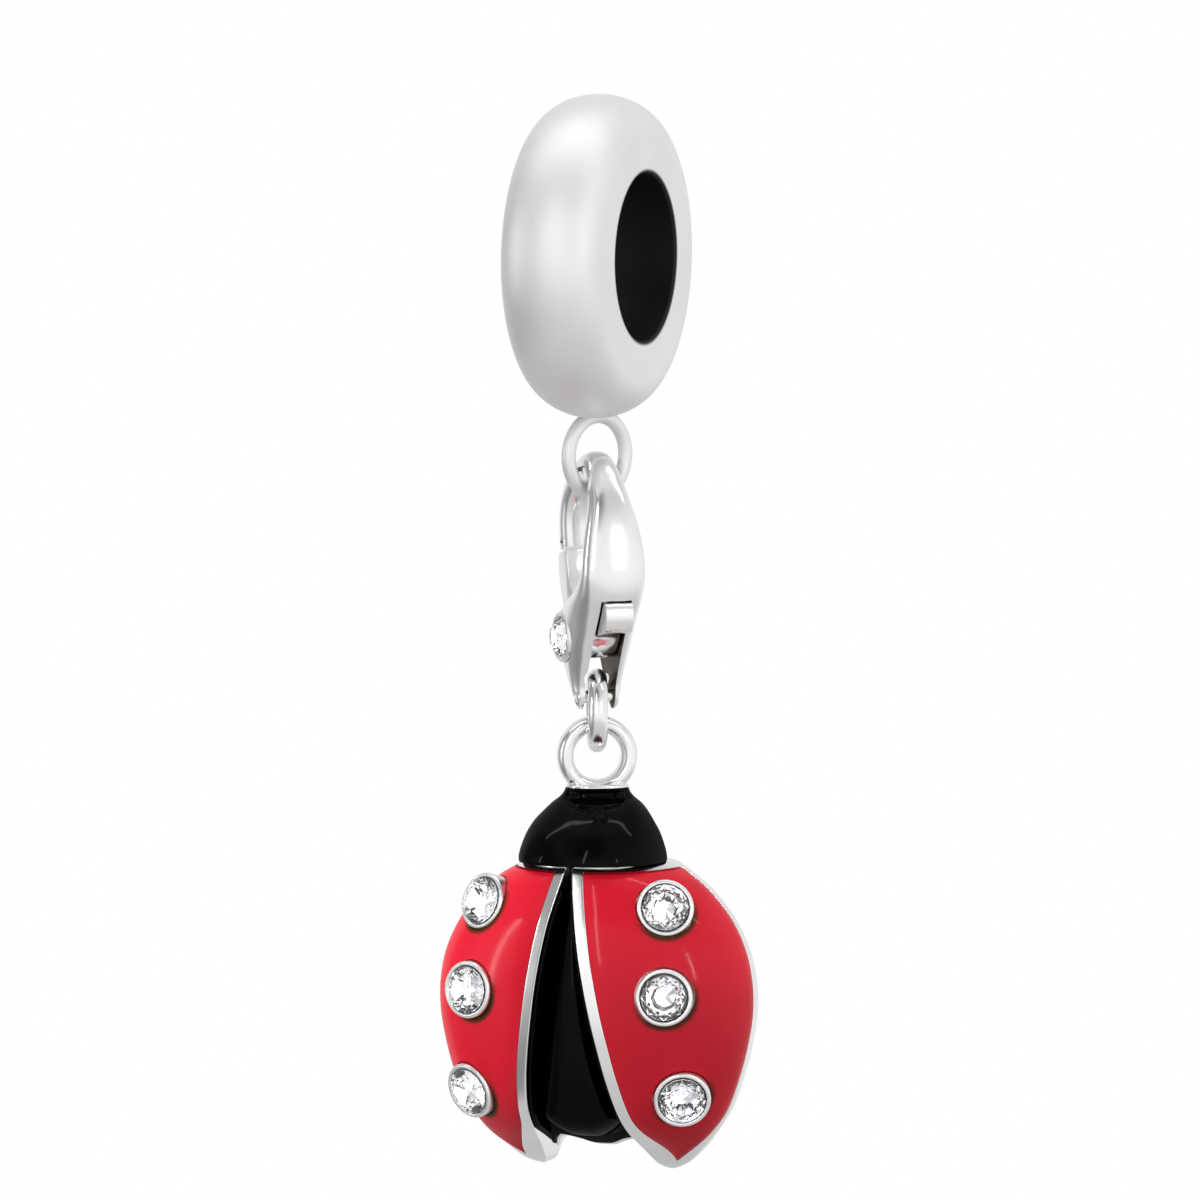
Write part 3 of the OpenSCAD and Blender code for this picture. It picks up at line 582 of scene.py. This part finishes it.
def makeLever():
    # smooth outline through the chosen points, cut from a plate
    points = [np.array(spot(*p)) for p in leverOutline]
    points = [points[0]] + points + [points[-1]]
    line = [0.5 * (2 * b + (c - a) * t + (2 * a - 5 * b + 4 * c - d) * t * t + (3 * b - a - 3 * c + d) * t ** 3)
            for a, b, c, d in zip(points, points[1:], points[2:], points[3:]) for t in (k / 6 for k in range(6))]
    line.append(points[-1])
    t, m = halfSlot - clasp["leverGap"], len(line)
    lever = addMesh("lever", [inClasp((s * t, p[0], p[1])) for s in (-1, 1) for p in line],
                    [tuple(range(m))[::-1], tuple(range(m, 2 * m))] + quads(2, m))
    step = lever.modifiers.new("softEdges", "BEVEL")
    step.width, step.segments = clasp["leverRound"] * mm, 4
    step.limit_method, step.angle_limit = "ANGLE", math.radians(50)
    cut(settle(lever), rod("bore", clasp["leverRivet"] + 2 * clasp["leverPinGap"], pivot))
    opened = (inClasp((0, *pivot)), clasp["turn"], -clasp["leverOpen"])
    return leaveRoom(lever, linkRing, [[(linkHinge, claspTurn, turn), opened] for turn in clasp["openLinkSwings"]])


def darkenSlot(obj):
    # painted shade: the slot's walls take a dark silver that stands in for the shade inside the slot
    dress(obj, polishedSilver, paintedShadeSilver)
    across, near, square = Vector((cosine(claspTurn), sine(claspTurn), 0)), 0.004, 0.98
    for face in obj.data.polygons:
        off = abs(abs(face.center.dot(across)) / mm - halfSlot)
        face.material_index = int(off < near and abs(face.normal.dot(across)) > square)
    return obj


finished(darkenSlot(smooth(makeClaspBody(), 34)), "claspBodyPiece", "clasp", "silver", None, "clasp_body")
finished(smooth(makeLever(), 30), "claspLeverPiece", "lever", "silver", polishedSilver, "clasp_lever")
leverReach, linkReach = clasp["leverRivetShare"] * halfThick, clasp["linkRivetShare"] * halfThick
for name, place, far, near, cadNode in (("leverRivet", pivot, leverReach, cupX - clasp["seat"], "lever_pin"),
                                        ("linkRivet", (0, tailZ), linkReach, linkReach, "link_pin")):
    rivet = smooth(rod(name, clasp[name], place, -far, near, clasp["rivetDome"]), 40)
    finished(rivet, name + "Piece", "clasp", "silver", polishedSilver, cadNode)
print("clasp made")


# jump ring

finished(smooth(ringPiece("jumpRing", linkRing, polishedSilver), 60),
         "jumpRingPiece", "link", "silver", polishedSilver, "jump_ring")


# ladybug casting

bug = {"bailBore": 1.6, "bailBand": 0.55, "bailThick": 0.9, "bailTurn": 30, "headHeight": 2.55, "headWidth": 5.1,
       "wingLength": 10.4, "wingsWidth": 10.9, "rise": 3.6, "back": 2.0, "tipGap": 4.2, "rim": 0.4, "enamel": 0.3,
       "seat": 0.02, "neckZ": -0.95}
bugZ = linkZ - link["diameter"] / 2 + link["wire"] + clasp["hang"] - bug["bailBore"] / 2
wingZ, wingLength = bug["neckZ"] - bug["headHeight"], bug["wingLength"]
wing = {"panelTop": 0.016, "panelLow": 0.97, "narrow": 0.8, "point": 0.45, "outerRim": (0.3, 0.6), "reach": 0.6,
        "drop": 0.62, "lean": 0.25, "rimRound": 0.11, "stepRound": 0.035, "stepWidth": 0.0012, "stepRise": 0.005,
        "backRound": 0.16, "side": 0.35, "topRound": 0.1, "tipRound": 0.3, "dome": 0.065, "domeWidth": 0.45,
        "rows": 190, "columns": 64}
wingRows = [  # share along, outer x, inner x, inner depth, outer depth
    (0, 0.46, 0.05, 0.72, -0.2), (0.03, 0.55, 0.07, 0.77, -0.2), (0.09, 0.7, 0.13, 0.85, -0.19),
    (0.18, 0.85, 0.225, 0.945, -0.17), (0.28, 0.95, 0.315, 0.995, -0.15), (0.38, 0.995, 0.405, 1, -0.14),
    (0.48, 1, 0.49, 0.97, -0.14), (0.58, 0.97, 0.58, 0.91, -0.14), (0.68, 0.92, 0.665, 0.82, -0.14),
    (0.79, 0.84, 0.75, 0.645, -0.15), (0.86, 0.755, 0.8, 0.43, -0.16), (0.92, 0.66, 0.87, 0.15, -0.19),
    (0.97, 0.555, 0.945, -0.08, -0.22), (1, 0.465, 1, -0.235, -0.25)]


def inBug(p):
    return np.array([p[0], p[1], p[2] + bugZ])


def wingSize(size, column):
    return lambda v: size * tableAt(wingRows, v, column)


outerX, innerX = wingSize(bug["wingsWidth"] / 2, 1), wingSize(bug["tipGap"] / 2, 2)
innerD, outerD = wingSize(bug["rise"], 3), wingSize(bug["rise"], 4)


def backAt(v):
    return bug["back"] * mix(0.8, 1, sine(180 * clamp(v, 0, 0.97)))


def wingFront(s, v):
    x0, x3, d0, d3 = innerX(v), outerX(v), innerD(v), outerD(v)
    x1, d1 = x0 + wing["reach"] * (x3 - x0), d0 - wing["reach"] * wing["lean"] * (x3 - x0)
    d2 = d3 + wing["drop"] * (d0 - d3)
    r = 1 - s
    a, b, c, e = r ** 3, 3 * s * r * r, 3 * s * s * r, s ** 3
    return np.array([a * x0 + b * x1 + (c + e) * x3, -(a * d0 + b * d1 + c * d2 + e * d3),
                     wingZ - v * wingLength])


def wingPoint(s, v, h):
    # the wing's front, pushed in by h
    p = wingFront(s, v)
    if h == 0:
        return p
    e = 0.004
    across = wingFront(min(s + e, 1), v) - wingFront(max(s - e, 0), v)
    along = wingFront(s, min(v + e, 1)) - wingFront(s, max(v - e, 0))
    n = np.cross(across, along)
    return p + h * n / np.linalg.norm(n)


def closing(v):
    # how far the panel has narrowed to its point
    share = max(v - wing["narrow"], 0) / (wing["panelLow"] - wing["narrow"])
    return min(share ** 2.6, 0.96)


def panelIn(v):
    start = min(bug["rim"] / (3 * wing["reach"] * (outerX(v) - innerX(v))), wing["point"])
    return mix(start, wing["point"], closing(v))


def panelOut(v):
    rim = mix(*wing["outerRim"], v * v) * bug["rim"]
    end = max(1 - rim / (3 * wing["drop"] * (innerD(v) - outerD(v))), wing["point"] + 0.2)
    return mix(end, wing["point"], closing(v))


def wingRing(v, floor, inset=0.0):
    p, q = panelIn(v), panelOut(v)
    x0, x3, d3, z = innerX(v), outerX(v), outerD(v), wingZ - v * wingLength
    back, rx, step, corner = backAt(v), wing["side"] * (x3 - x0), wing["stepWidth"], wing["stepRound"]
    front = [(0, 0, wing["rimRound"])] + [(s, 0, 0) for s in linspace(0, p, 5)[1:-1]]
    front += [(p, 0, corner), (p + step, floor, corner)]
    front += [(s, floor, 0) for s in linspace(p, q, wing["columns"])[1:-1]]
    front += [(q - step, floor, corner), (q, 0, corner)]
    front += [(s, 0, 0) for s in linspace(q, 1, 6)[1:]]
    behind = [(x3 - rx + rx * cosine(a), -(d3 - (d3 + back) * sine(a)), 0) for a in linspace(0, 90, 15)[1:]]
    behind += [(mix(x3 - rx, x0, k), back, 0) for k in linspace(0, 1, 9)[1:-1]]
    behind += [(x0, back, wing["backRound"])]
    behind += [(x0, mix(back, -innerD(v), k), 0) for k in linspace(0, 1, 14)[1:-1]]
    points = [wingPoint(s, v, h) for s, h, _ in front] + [np.array([x, y, z]) for x, y, _ in behind]
    ring = roundLoop(points, [r for _, _, r in front + behind])
    if inset:  # drawn in on all sides towards the middle
        low, high = np.min(ring, axis=0), np.max(ring, axis=0)
        middle, half = (low + high) / 2, (high - low) / 2
        share = np.array([max(1 - inset / half[0], 0.04), max(1 - inset / half[1], 0.04), 1])
        ring = [middle + (r - middle) * share for r in ring]
    return ring


def floorAt(v):
    return bug["enamel"] * clamp(min(v - wing["panelTop"], wing["panelLow"] - v) / wing["stepRise"])


def makeWing():
    def rounding(e, n):
        # shares along and insets of a rounded end
        return [(e * (1 - math.sin(t)) / wingLength, e * (1 - math.cos(t))) for t in linspace(0, math.pi / 2, n)]

    top, low = rounding(wing["topRound"], 6)[::-1], rounding(wing["tipRound"], 12)
    first, last, fine = top[-1][0], 1 - low[0][0], wing["stepRise"] / 4
    rows = set(linspace(first, last, wing["rows"]))
    for k in range(-1, 6):
        rows |= {wing["panelTop"] + k * fine, wing["panelLow"] - k * fine}
    middle = [v for v in sorted(rows) if first < v < last]
    return skin("wing", [wingRing(v, floorAt(v), i) for v, i in top] + [wingRing(v, floorAt(v)) for v in middle]
                + [wingRing(1 - v, floorAt(1 - v), i) for v, i in low])


head = {"cover": 20, "columns": 96, "box": 0.86, "neckEnd": 0.5, "dome": 0.03, "domeWidth": 0.28, "gap": 0.02,
        "top": 0.042, "low": 0.992}
headRows = [  # share along, half width, front, back
    (0, 0.205, 0.175, 0.14), (0.05, 0.208, 0.17, 0.14), (0.11, 0.215, 0.15, 0.145), (0.17, 0.24, 0.165, 0.15),
    (0.24, 0.285, 0.245, 0.155), (0.34, 0.335, 0.335, 0.165), (0.46, 0.385, 0.41, 0.175), (0.61, 0.43, 0.48, 0.185),
    (0.8, 0.465, 0.54, 0.195), (0.93, 0.48, 0.565, 0.2), (1, 0.485, 0.57, 0.2)]


def neckTurn(v):
    return bug["bailTurn"] * (1 - ease(clamp(v / head["neckEnd"])))


def headPoint(a, v, h):
    w = bug["headWidth"] * tableAt(headRows, v, 1) - h
    f = bug["headWidth"] * tableAt(headRows, v, 2 if sine(a) > 0 else 3) - h
    y = -f * power(sine(a), head["box"] if sine(a) > 0 else 1)
    return turnedBy((w * power(cosine(a), head["box"]), y, bug["neckZ"] - v * bug["headHeight"]), neckTurn(v))


def makeHead():
    cover = head["cover"]

    def ring(v, h, shrink=0.0):
        front = [headPoint(a, v, h + shrink) for a in linspace(-cover, 180 + cover, head["columns"])]
        return front + [headPoint(a, v, shrink) for a in linspace(181 + cover, 359 - cover, 48)]

    rings = [ring(v, 0, shrink) for v, shrink in ((0.0, 0.06), (0.004, 0.03), (0.012, 0.01), (0.022, 0), (0.034, 0))]
    rings += [ring(v, bug["enamel"]) for v in (0.036, *linspace(0.05, 0.98, 60))]
    low = [np.array([p[0] * 0.8, p[1] * 0.8, wingZ - 0.5]) for p in rings[-1]]
    return skin("head", rings + [low])


core = {"width": 2.3, "floor": 0.3, "belly": 0.45, "under": 0.05, "backFrom": 0.8, "backTo": 0.95, "back": 1.7}
coreEdge = [  # lower edge: distance from the middle, share along
    (0, 0.929), (0.35, 0.927), (0.7, 0.914), (1.1, 0.903), (1.4, 0.902), (1.65, 0.92), (1.9, 0.945), (2.3, 0.93)]


def edgeAt(x):
    return tableAt(coreEdge, min(abs(x), core["width"]), 1)


def coreFloor(v):
    # the floor draws back towards the lower end
    return core["floor"] - core["back"] * (max(v - core["backFrom"], 0) / (core["backTo"] - core["backFrom"])) ** 2


def coreRing(x):
    top, low = wingZ - 0.06, wingZ - edgeAt(x) * wingLength
    k = 1 - (x / core["width"]) ** 2
    ring = []
    for t in linspace(0, 1, 34):
        z = mix(low, top, (1 - t) ** 1.6)
        ring.append(np.array([x, -coreFloor((wingZ - z) / wingLength), z]))
    for t in linspace(0.012, 0.988, 60):
        z = mix(low, top, t)
        depth = backAt((wingZ - z) / wingLength) - core["under"] + core["belly"] * k * sine(180 * t) ** 0.7
        ring.append(np.array([x, depth, z]))
    return ring


def makeBail():
    # band of the bail ring, flat inside and rounded outside
    r, half = (bug["bailBore"] + bug["bailBand"]) / 2, bug["bailBand"] / 2
    section = [(r + half * cosine(a), bug["bailThick"] / 2 * power(sine(a), 0.8)) for a in linspace(0, 360, 41)[:-1]]
    return lathe("bail", section, 128, lambda p: turnedBy((p[0], -p[2], p[1]), bug["bailTurn"]))


stones = {"size": 1.56, "cup": 1.92, "proud": 0.28, "cupHeight": 0.9, "lip": 0.1, "pocket": 2.7, "brown": 0.17,
          "rows": [(0.13, 0.75, 26, 16), (0.405, 0.63, 18, 2), (0.735, 0.77, 24, -16)]}  # along, across, turn, tilt


def onWing(v, share, out, up):
    # matrix of a crystal's cup on the right wing
    low, high = 0.0, 1.0
    for _ in range(24):
        m = (low + high) / 2
        low, high = (m, high) if wingFront(m, v)[0] < share * outerX(v) else (low, m)
    place = moved(*inBug(wingFront((low + high) / 2, v))) @ spun(out, "Z") @ spun(90 - up, "X")
    return place @ moved(0, 0, stones["proud"] - stones["cupHeight"])


rightPlaces = [onWing(*row) for row in stones["rows"]]
leftPlaces = [flip @ m @ flip for m in rightPlaces]


def sockets(places, gap):
    # cylinders that clear the cups
    for m in places:
        yield skin("socket", [[np.array(m @ Vector(p * mm)) / mm for p in circle(stones["cup"] / 2 + gap, 48, z)]
                              for z in (0.0, stones["pocket"])])


def makeCasting():
    right = makeWing()
    casting = skin("core", [coreRing(x) for x in linspace(core["width"], -core["width"], 61)])
    combine(casting, "UNION", right, mirrored(right, "leftWing"), makeHead(), makeBail())
    casting.data.transform(moved(0, 0, bugZ))
    return cut(casting, *sockets(leftPlaces + rightPlaces, bug["seat"]))


castingPiece = finished(smooth(makeCasting(), 36), "ladybugCastingPiece", "ladybug", "silver", polishedSilver,
                        "ladybug_casting")
print("casting made:", len(castingPiece.data.polygons), "faces")


# enamels

edgeDrop = 0.012  # the enamel's edge lies this far below the rim


def domeAt(distance, width, height):
    # enamel drawn down at its edge, full inside
    return height * (1 - (1 - clamp(distance / width)) ** 2) - edgeDrop


def makeWingEnamel():
    length, gap = wingLength, 0.005
    top, low = wing["panelTop"] + wing["stepRise"] + gap / length, wing["panelLow"] - 0.0055
    edge = [0, 0.004, 0.012, 0.024, 0.04]
    columns = edge + list(linspace(0.06, 0.94, 60)) + [1 - e for e in edge[::-1]]
    upper, lower = [], []
    for v in linspace(top, low, 170):
        share = 2 * gap / (3 * wing["reach"] * (outerX(v) - innerX(v)))
        a, b = panelIn(v) + share, panelOut(v) - share
        width = np.linalg.norm(wingFront(b, v) - wingFront(a, v))
        reach = [min(k * width, (1 - k) * width, (v - top) * length, (low - v) * length) for k in columns]
        upper.append([wingPoint(mix(a, b, k), v, -domeAt(d, wing["domeWidth"], wing["dome"]))
                      for k, d in zip(columns, reach)])
        lower.append([wingPoint(mix(a, b, k), v, bug["enamel"] - 0.02) for k in columns])
    return layer("wingEnamel", upper, lower, inBug)


def markCupEdges(panel, places):
    # attribute for the painted shadow, a brown line round each cup, heavier below it
    reach, width = stones["cup"] / 2 + 2 * bug["seat"], stones["brown"]
    mark = panel.data.attributes.new("cupShadow", "FLOAT", "POINT")
    back = [m.inverted() for m in places]
    for vertex, item in zip(panel.data.vertices, mark.data):
        level = 0.0
        for m in back:
            p = m @ vertex.co / mm
            r = math.hypot(p[0], p[1])
            if r < reach + width:
                down = clamp(0.35 - 0.85 * p[1] / r + 0.4 * p[0] / r)
                level = max(level, clamp((reach + width - r) / (0.45 * width)) * ease(down))
        item.value = level
    return panel


rightPanel = makeWingEnamel()
leftPanel = mirrored(rightPanel, "leftPanel")
for panel, places, name, cadNode in ((rightPanel, rightPlaces, "wingEnamelRightPiece", "wing_enamel_right"),
                                     (leftPanel, leftPlaces, "wingEnamelLeftPiece", "wing_enamel_left")):
    cut(panel, *sockets(places, 2 * bug["seat"]))
    finished(smooth(markCupEdges(panel, places), 34), name, "ladybug", "red_enamel", redEnamel, cadNode)


def makeHeadEnamel():
    cover, low, high = head["cover"] - 0.5, head["top"], head["low"]
    turns, upper, lower = linspace(-cover, 180 + cover, 140), [], []
    for v in linspace(low, high, 90):
        reach = min(v - low, high - v) * bug["headHeight"]
        edges = [min(reach, min(a + cover, 180 + cover - a) / 57.3 * 1.2) for a in turns]
        upper.append([headPoint(a, v, -domeAt(d, head["domeWidth"], head["dome"] + edgeDrop))
                      for a, d in zip(turns, edges)])
        lower.append([headPoint(a, v, bug["enamel"] - head["gap"]) for a in turns])
    return layer("headEnamel", upper, lower, inBug)


knobs = {"radius": 0.2, "x": 0.72, "y": 0.7, "v": 0.15}


def makeKnob(side):
    r, z = knobs["radius"], bug["neckZ"] - knobs["v"] * bug["headHeight"]
    centre = turnedBy((side * knobs["x"], -knobs["y"], z), neckTurn(knobs["v"]))
    return skin("knob", [[inBug(centre + p) for p in circle(r * math.sin(t), 40, r * math.cos(t))]
                         for t in (math.pi * k / 24 for k in range(1, 24))])


headEnamel = combine(makeHeadEnamel(), "UNION", makeKnob(-1), makeKnob(1))
finished(smooth(headEnamel, 40), "headEnamelPiece", "ladybug", "black_enamel", blackEnamel, "head_enamel")

body = {"top": 0.075, "low": 0.921, "thick": 0.25, "wall": 0.1, "below": 0.12, "drawFrom": 0.86, "draw": 15.5,
        "half": 1.55, "narrow": (0.72, 0.89, 2.6), "fall": (0.8, 0.89, 3), "full": (4, 0.42), "shift": 0.8,
        "lap": 0.03, "step": 0.02}
bodyRows = [(0, 2), (0.1, 2.35), (0.29, 2.75), (0.5, 2.9), (0.69, 2.7), (0.8, 2.35), (0.85, 2.05), (0.9, 1.65)]


def roundedOff(v, span, e):
    return (1 - clamp((v - span[0]) / (span[1] - span[0])) ** span[2]) ** e


def shifted(x, v):
    # rows follow the core's lower edge
    return v + (edgeAt(x) - coreEdge[0][1]) * max(v - body["shift"], 0) / (body["low"] - body["shift"])


def lowAt(x, v):
    return coreFloor(shifted(x, v)) + body["thick"]


def bodyRow(v):
    along, lap, step = shifted(innerX(v), v), body["lap"], body["step"]
    x = innerX(along) - lap
    side = max(lowAt(x, v), innerD(along) - body["below"] - body["draw"] * max(along - body["drawFrom"], 0))
    x1, x2 = x - body["wall"], x - body["wall"] - step
    narrow = roundedOff(v, body["narrow"], 1 / body["narrow"][2])
    half = body["half"] * (1 if v > body["fall"][1] else max(narrow, 0.04))
    w = min(0.96 * x2, half)
    crest, share = tableAt(bodyRows, v, 1), roundedOff(v, body["fall"], 0.5)
    outer = [(x, side - lap), (x - step, side - 0.008), (mix(x, x1, 0.5), side), (x1 + step, side - 0.008)]
    outer += [(x1, side - lap)]
    outer += [(x1, mix(side - lap, lowAt(x1, v), k)) for k in (0.25, 0.5, 0.75)]
    outer += [(mix(x2, w, k), lowAt(mix(x2, w, k), v)) for k in (0, 0.33, 0.66)]
    middle = []
    for u in (-0.999 * cosine(a) for a in linspace(0, 180, 73)):
        low = lowAt(u * w, v)
        middle.append((u * w, low + max(crest - low, 0) * share * (1 - abs(u) ** body["full"][0]) ** body["full"][1]))
    return [(-a, b) for a, b in outer] + middle + outer[::-1]


def makeBodyEnamel():
    fall = body["fall"]
    rows = list(linspace(body["top"], fall[0], 90)) + [mix(*fall[:2], sine(a)) for a in linspace(4, 90, 34)]
    rows += list(linspace(fall[1] + 0.002, body["low"], 10))
    upper, lower = [], []
    for v in rows:
        line = [(x, d, shifted(x, v)) for x, d in bodyRow(v)]
        upper.append([(x, -d, wingZ - k * wingLength) for x, d, k in line])
        lower.append([(x, -coreFloor(k) - 0.02, wingZ - k * wingLength) for x, d, k in line])
    return layer("bodyEnamel", upper, lower, inBug)


finished(smooth(makeBodyEnamel(), 50), "bodyEnamelPiece", "ladybug", "black_enamel", blackEnamel, "body_enamel")
print("enamels made")


# cups and crystals

def makeCup(outer, stone, height, lip):
    # bezel cup with a rolled lip and a cone seat, open towards +Z
    r, inner, centre, below, cone = outer / 2, stone / 2 + 0.005, 0.0005, 0.06, 0.23
    depth = height - below - cone * stone
    profile = [(centre, 0.0), (r * 0.5, 0.0), (r - 0.03, 0.0), (r, 0.03), (r, (height - lip) * 0.5)]
    profile += [((inner + r + (r - inner) * cosine(a)) / 2, height - lip + lip * sine(a))
                for a in linspace(0, 180, 13)]
    profile += [(inner, height - lip - 0.02), (0.1 * stone, depth), (centre, depth)]
    return lathe("cup", profile, 72, lambda p: p)


def makeGem(d):
    # round brilliant: table, stars, kites, girdle and pavilion; girdle's lower edge at 0
    def ring(r, z, offset, n):
        return [(r * d * cosine(offset + 360 / n * i), r * d * sine(offset + 360 / n * i), z * d) for i in range(n)]

    points = ring(0.28, 0.19, 0, 8) + ring(0.40, 0.118, 22.5, 8) + ring(0.495, 0.03, 0, 16) + ring(0.495, 0, 0, 16)
    points += ring(0.24, -0.125, 22.5, 8) + ring(0.03, -0.235, 0, 8)
    t, s, u, l, p, c = 0, 8, 16, 32, 48, 56
    front = [tuple(range(8))]
    for i in range(8):
        front += [(t + i, s + i, t + (i + 1) % 8), (s + (i - 1) % 8, u + 2 * i, s + i, t + i),
                  (s + i, u + 2 * i, u + 2 * i + 1), (s + i, u + 2 * i + 1, u + (2 * i + 2) % 16)]
    front += [(u + i, l + i, l + (i + 1) % 16, u + (i + 1) % 16) for i in range(16)]
    back = []
    for i in range(8):
        j = (i + 1) % 8
        back += [(l + 2 * i, p + i, l + 2 * i + 1), (l + 2 * i + 1, p + i, l + (2 * i + 2) % 16),
                 (l + 2 * i, c + i, p + i), (l + 2 * i, p + (i - 1) % 8, c + i), (c + i, c + j, p + i)]
    back.append(tuple(c + i for i in range(8))[::-1])
    gem = addMesh("gem", points, front + back)
    # painted reflection: each back facet gets its own tone, standing in for facets catching light differently
    tones = gem.data.attributes.new("facet", "FLOAT", "FACE")
    for k, item in enumerate(tones.data):  # the front's facets are marked by -1
        item.value = -1 if k < len(front) else 0.4 + 0.4 * math.sin(2.4 * k)
    return gem


def foilBacks(obj):
    mesh = dress(obj, clearCrystal, stoneFoil).data
    for face, tone in zip(mesh.polygons, mesh.attributes["facet"].data):
        face.material_index = int(tone.value > -0.5)
        face.use_smooth = False
    return obj


def setStones(cups, crystals, body, places, sizes, cupNodes, crystalNodes):
    # cups and crystals at the given places; sizes: cup, crystal, cup's height, lip
    for name, shape, z in ((cups, makeCup(*sizes), 0), (crystals, makeGem(sizes[1]), sizes[2] - 0.02)):
        piece = setPiece(name, [m @ moved(0, 0, bug["seat"] + z) for m in places], shape, softSilver)
        if name == cups:
            finished(smooth(piece, 40), name + "Piece", body, "silver", softSilver, *cupNodes)
        else:
            finished(foilBacks(piece), name + "Piece", body, "crystal", None, *crystalNodes)


setStones("wingCups", "wingCrystals", "ladybug", leftPlaces + rightPlaces,
          [stones[key] for key in ("cup", "size", "cupHeight", "lip")],
          *[[part + str(i) for i in range(1, 7)] for part in ("wing_cup_", "wing_crystal_")])
setStones("claspCup", "claspCrystal", "clasp", [cupFrame()],
          [clasp[key] for key in ("cup", "stone", "cupHeight", "lip")], ["clasp_cup"], ["clasp_crystal"])
print("cups and crystals made")


# studio

studio = {"azimuth": 21, "elevation": 5, "distance": 600, "centreX": 0.1, "centreZ": -11.49, "frame": 40.0,
          "sensor": 36, "floorZ": -62, "floorSize": 9000, "sparkle": 2.5, "flag": (5, 52), "lampZ": -12}
tentLevels = {  # position and grey level: downwards to upwards, behind to in front, left to right
    "height": ((0, 0.58), (1, 0.97), (0.28, 0.72), (0.37, 1), (0.5, 1), (0.7, 0.93), (0.86, 0.66), (0.93, 0.66),
               (0.985, 0.95)),
    "front": ((0, 0.85), (1, 0.97), (0.2, 0.85), (0.36, 0.9), (0.62, 0.94)),
    "side": ((0, 0.98), (1, 1), (0.04, 0.4), (0.12, 0.42), (0.18, 1)),
    "flag": ((0, 1), (1, 0.3), (0.935, 1), (0.985, 0.34)),
    "mattHeight": ((0, 0.4), (1, 1.9), (0.45, 0.5), (0.6, 0.8)),
    "mattSide": ((0, 1.9), (1, 1.6), (0.25, 1.1), (0.5, 0.12), (0.75, 0.45))}
lamps = {  # azimuth, elevation, distance, width, height, brightness
    "frontStrip": (0, 26, 500, 22, 430, 10), "leftStrip": (-62, 8, 450, 12, 240, 16),
    "rightStrip": (62, 14, 450, 10, 150, 20), "topBar": (195, 85, 400, 900, 26, 7)}


def outward(azimuth, elevation):
    # unit vector from the charm outwards
    return Vector((sine(azimuth) * cosine(elevation), -cosine(azimuth) * cosine(elevation), sine(elevation)))


def aimed(name, data, target, back, distance):
    obj = placed(name, data)
    obj.location = target + back * distance * mm
    obj.rotation_mode = "QUATERNION"
    obj.rotation_quaternion = (-back).to_track_quat("-Z", "Y")
    return obj


def makeCamera():
    data = bpy.data.cameras.new("camera")
    data.sensor_width = studio["sensor"]
    data.lens = studio["sensor"] * studio["distance"] / studio["frame"]
    data.clip_start, data.clip_end = 0.01, 50
    data.dof.use_dof = False
    right = outward(studio["azimuth"] + 90, 0)
    target = right * studio["centreX"] * mm + Vector((0, 0, studio["centreZ"] * mm))
    back = outward(studio["azimuth"], studio["elevation"])
    bpy.context.scene.camera = aimed("camera", data, target, back, studio["distance"])


def makeFloor():
    # white to the eye, left out of reflections
    s, z = studio["floorSize"] / 2, studio["floorZ"]
    floor = addMesh("floor", [(-s, -s, z), (s, -s, z), (s, s, z), (-s, s, z)], [(0, 1, 2, 3)])
    material, tree, principled = newMaterial("paleFloor")
    tree.nodes.remove(principled)
    tree.links.new(node(tree, "Emission")[0], tree.nodes["Material Output"].inputs[0])
    dress(floor, material)
    floor.visible_glossy = floor.visible_diffuse = floor.visible_transmission = False


def makeWorld():
    # pale tent, seen only in reflections, with a dark flag; matt surfaces and clear stones see their own levels
    world = bpy.data.worlds.new("studio")
    bpy.context.scene.world = world
    world.use_nodes = True
    tree = world.node_tree
    tree.nodes.clear()
    coords = node(tree, "TexCoord")["Generated"]
    split = node(tree, "SeparateXYZ", {0: coords})

    def level(name, direction):
        # a level along a direction, from -1 to 1 taken as 0 to 1
        x, y, z = [mathNode(tree, "MULTIPLY", split[k], 0.5 * part) for k, part in enumerate(direction)]
        place = mathNode(tree, "ADD", mathNode(tree, "ADD", x, y), mathNode(tree, "ADD", z, 0.5))
        ramp = node(tree, "ValToRGB", {0: place})
        elements = ramp[0].node.color_ramp.elements
        for k, (position, grey) in enumerate(tentLevels[name]):
            element = elements[k] if k < 2 else elements.new(position)
            element.position = position
            element.color = (grey, grey, grey, 1)
        return ramp[0]

    def tentNode(strength, colour, *levels):
        for other in levels:
            colour = colourMix(tree, 1.0, colour, other, "MULTIPLY")
        return node(tree, "Background", {"Color": colour, "Strength": strength})

    up, side = (0, 0, 1), outward(studio["azimuth"] + 90, 0)
    levels = [level("height", up), level("front", outward(studio["azimuth"], 0)), level("side", side),
              level("flag", outward(*studio["flag"]))]
    shade = tentNode(1.0, *levels)
    path = node(tree, "LightPath")
    for ray, other in (("Is Diffuse Ray", tentNode(1.0, level("mattHeight", up), level("mattSide", side))),
                       ("Is Transmission Ray", tentNode(studio["sparkle"], *levels[:3])),
                       ("Is Camera Ray", tentNode(1.0, (1, 1, 1, 1)))):
        shade = node(tree, "MixShader", {0: path[ray], 1: shade[0], 2: other[0]})
    node(tree, "OutputWorld", {0: shade[0]})


bpy.context.scene.view_settings.view_transform = "Standard"
makeCamera()
makeFloor()
makeWorld()
for name, (azimuth, elevation, distance, width, height, glow) in lamps.items():
    data = bpy.data.lights.new(name, "AREA")
    data.shape = "RECTANGLE"
    data.size, data.size_y = width * mm, height * mm
    data.energy = glow * math.pi * data.size * data.size_y
    aimed(name, data, Vector((0, 0, studio["lampZ"] * mm)), outward(azimuth, elevation), distance)
print("studio made")
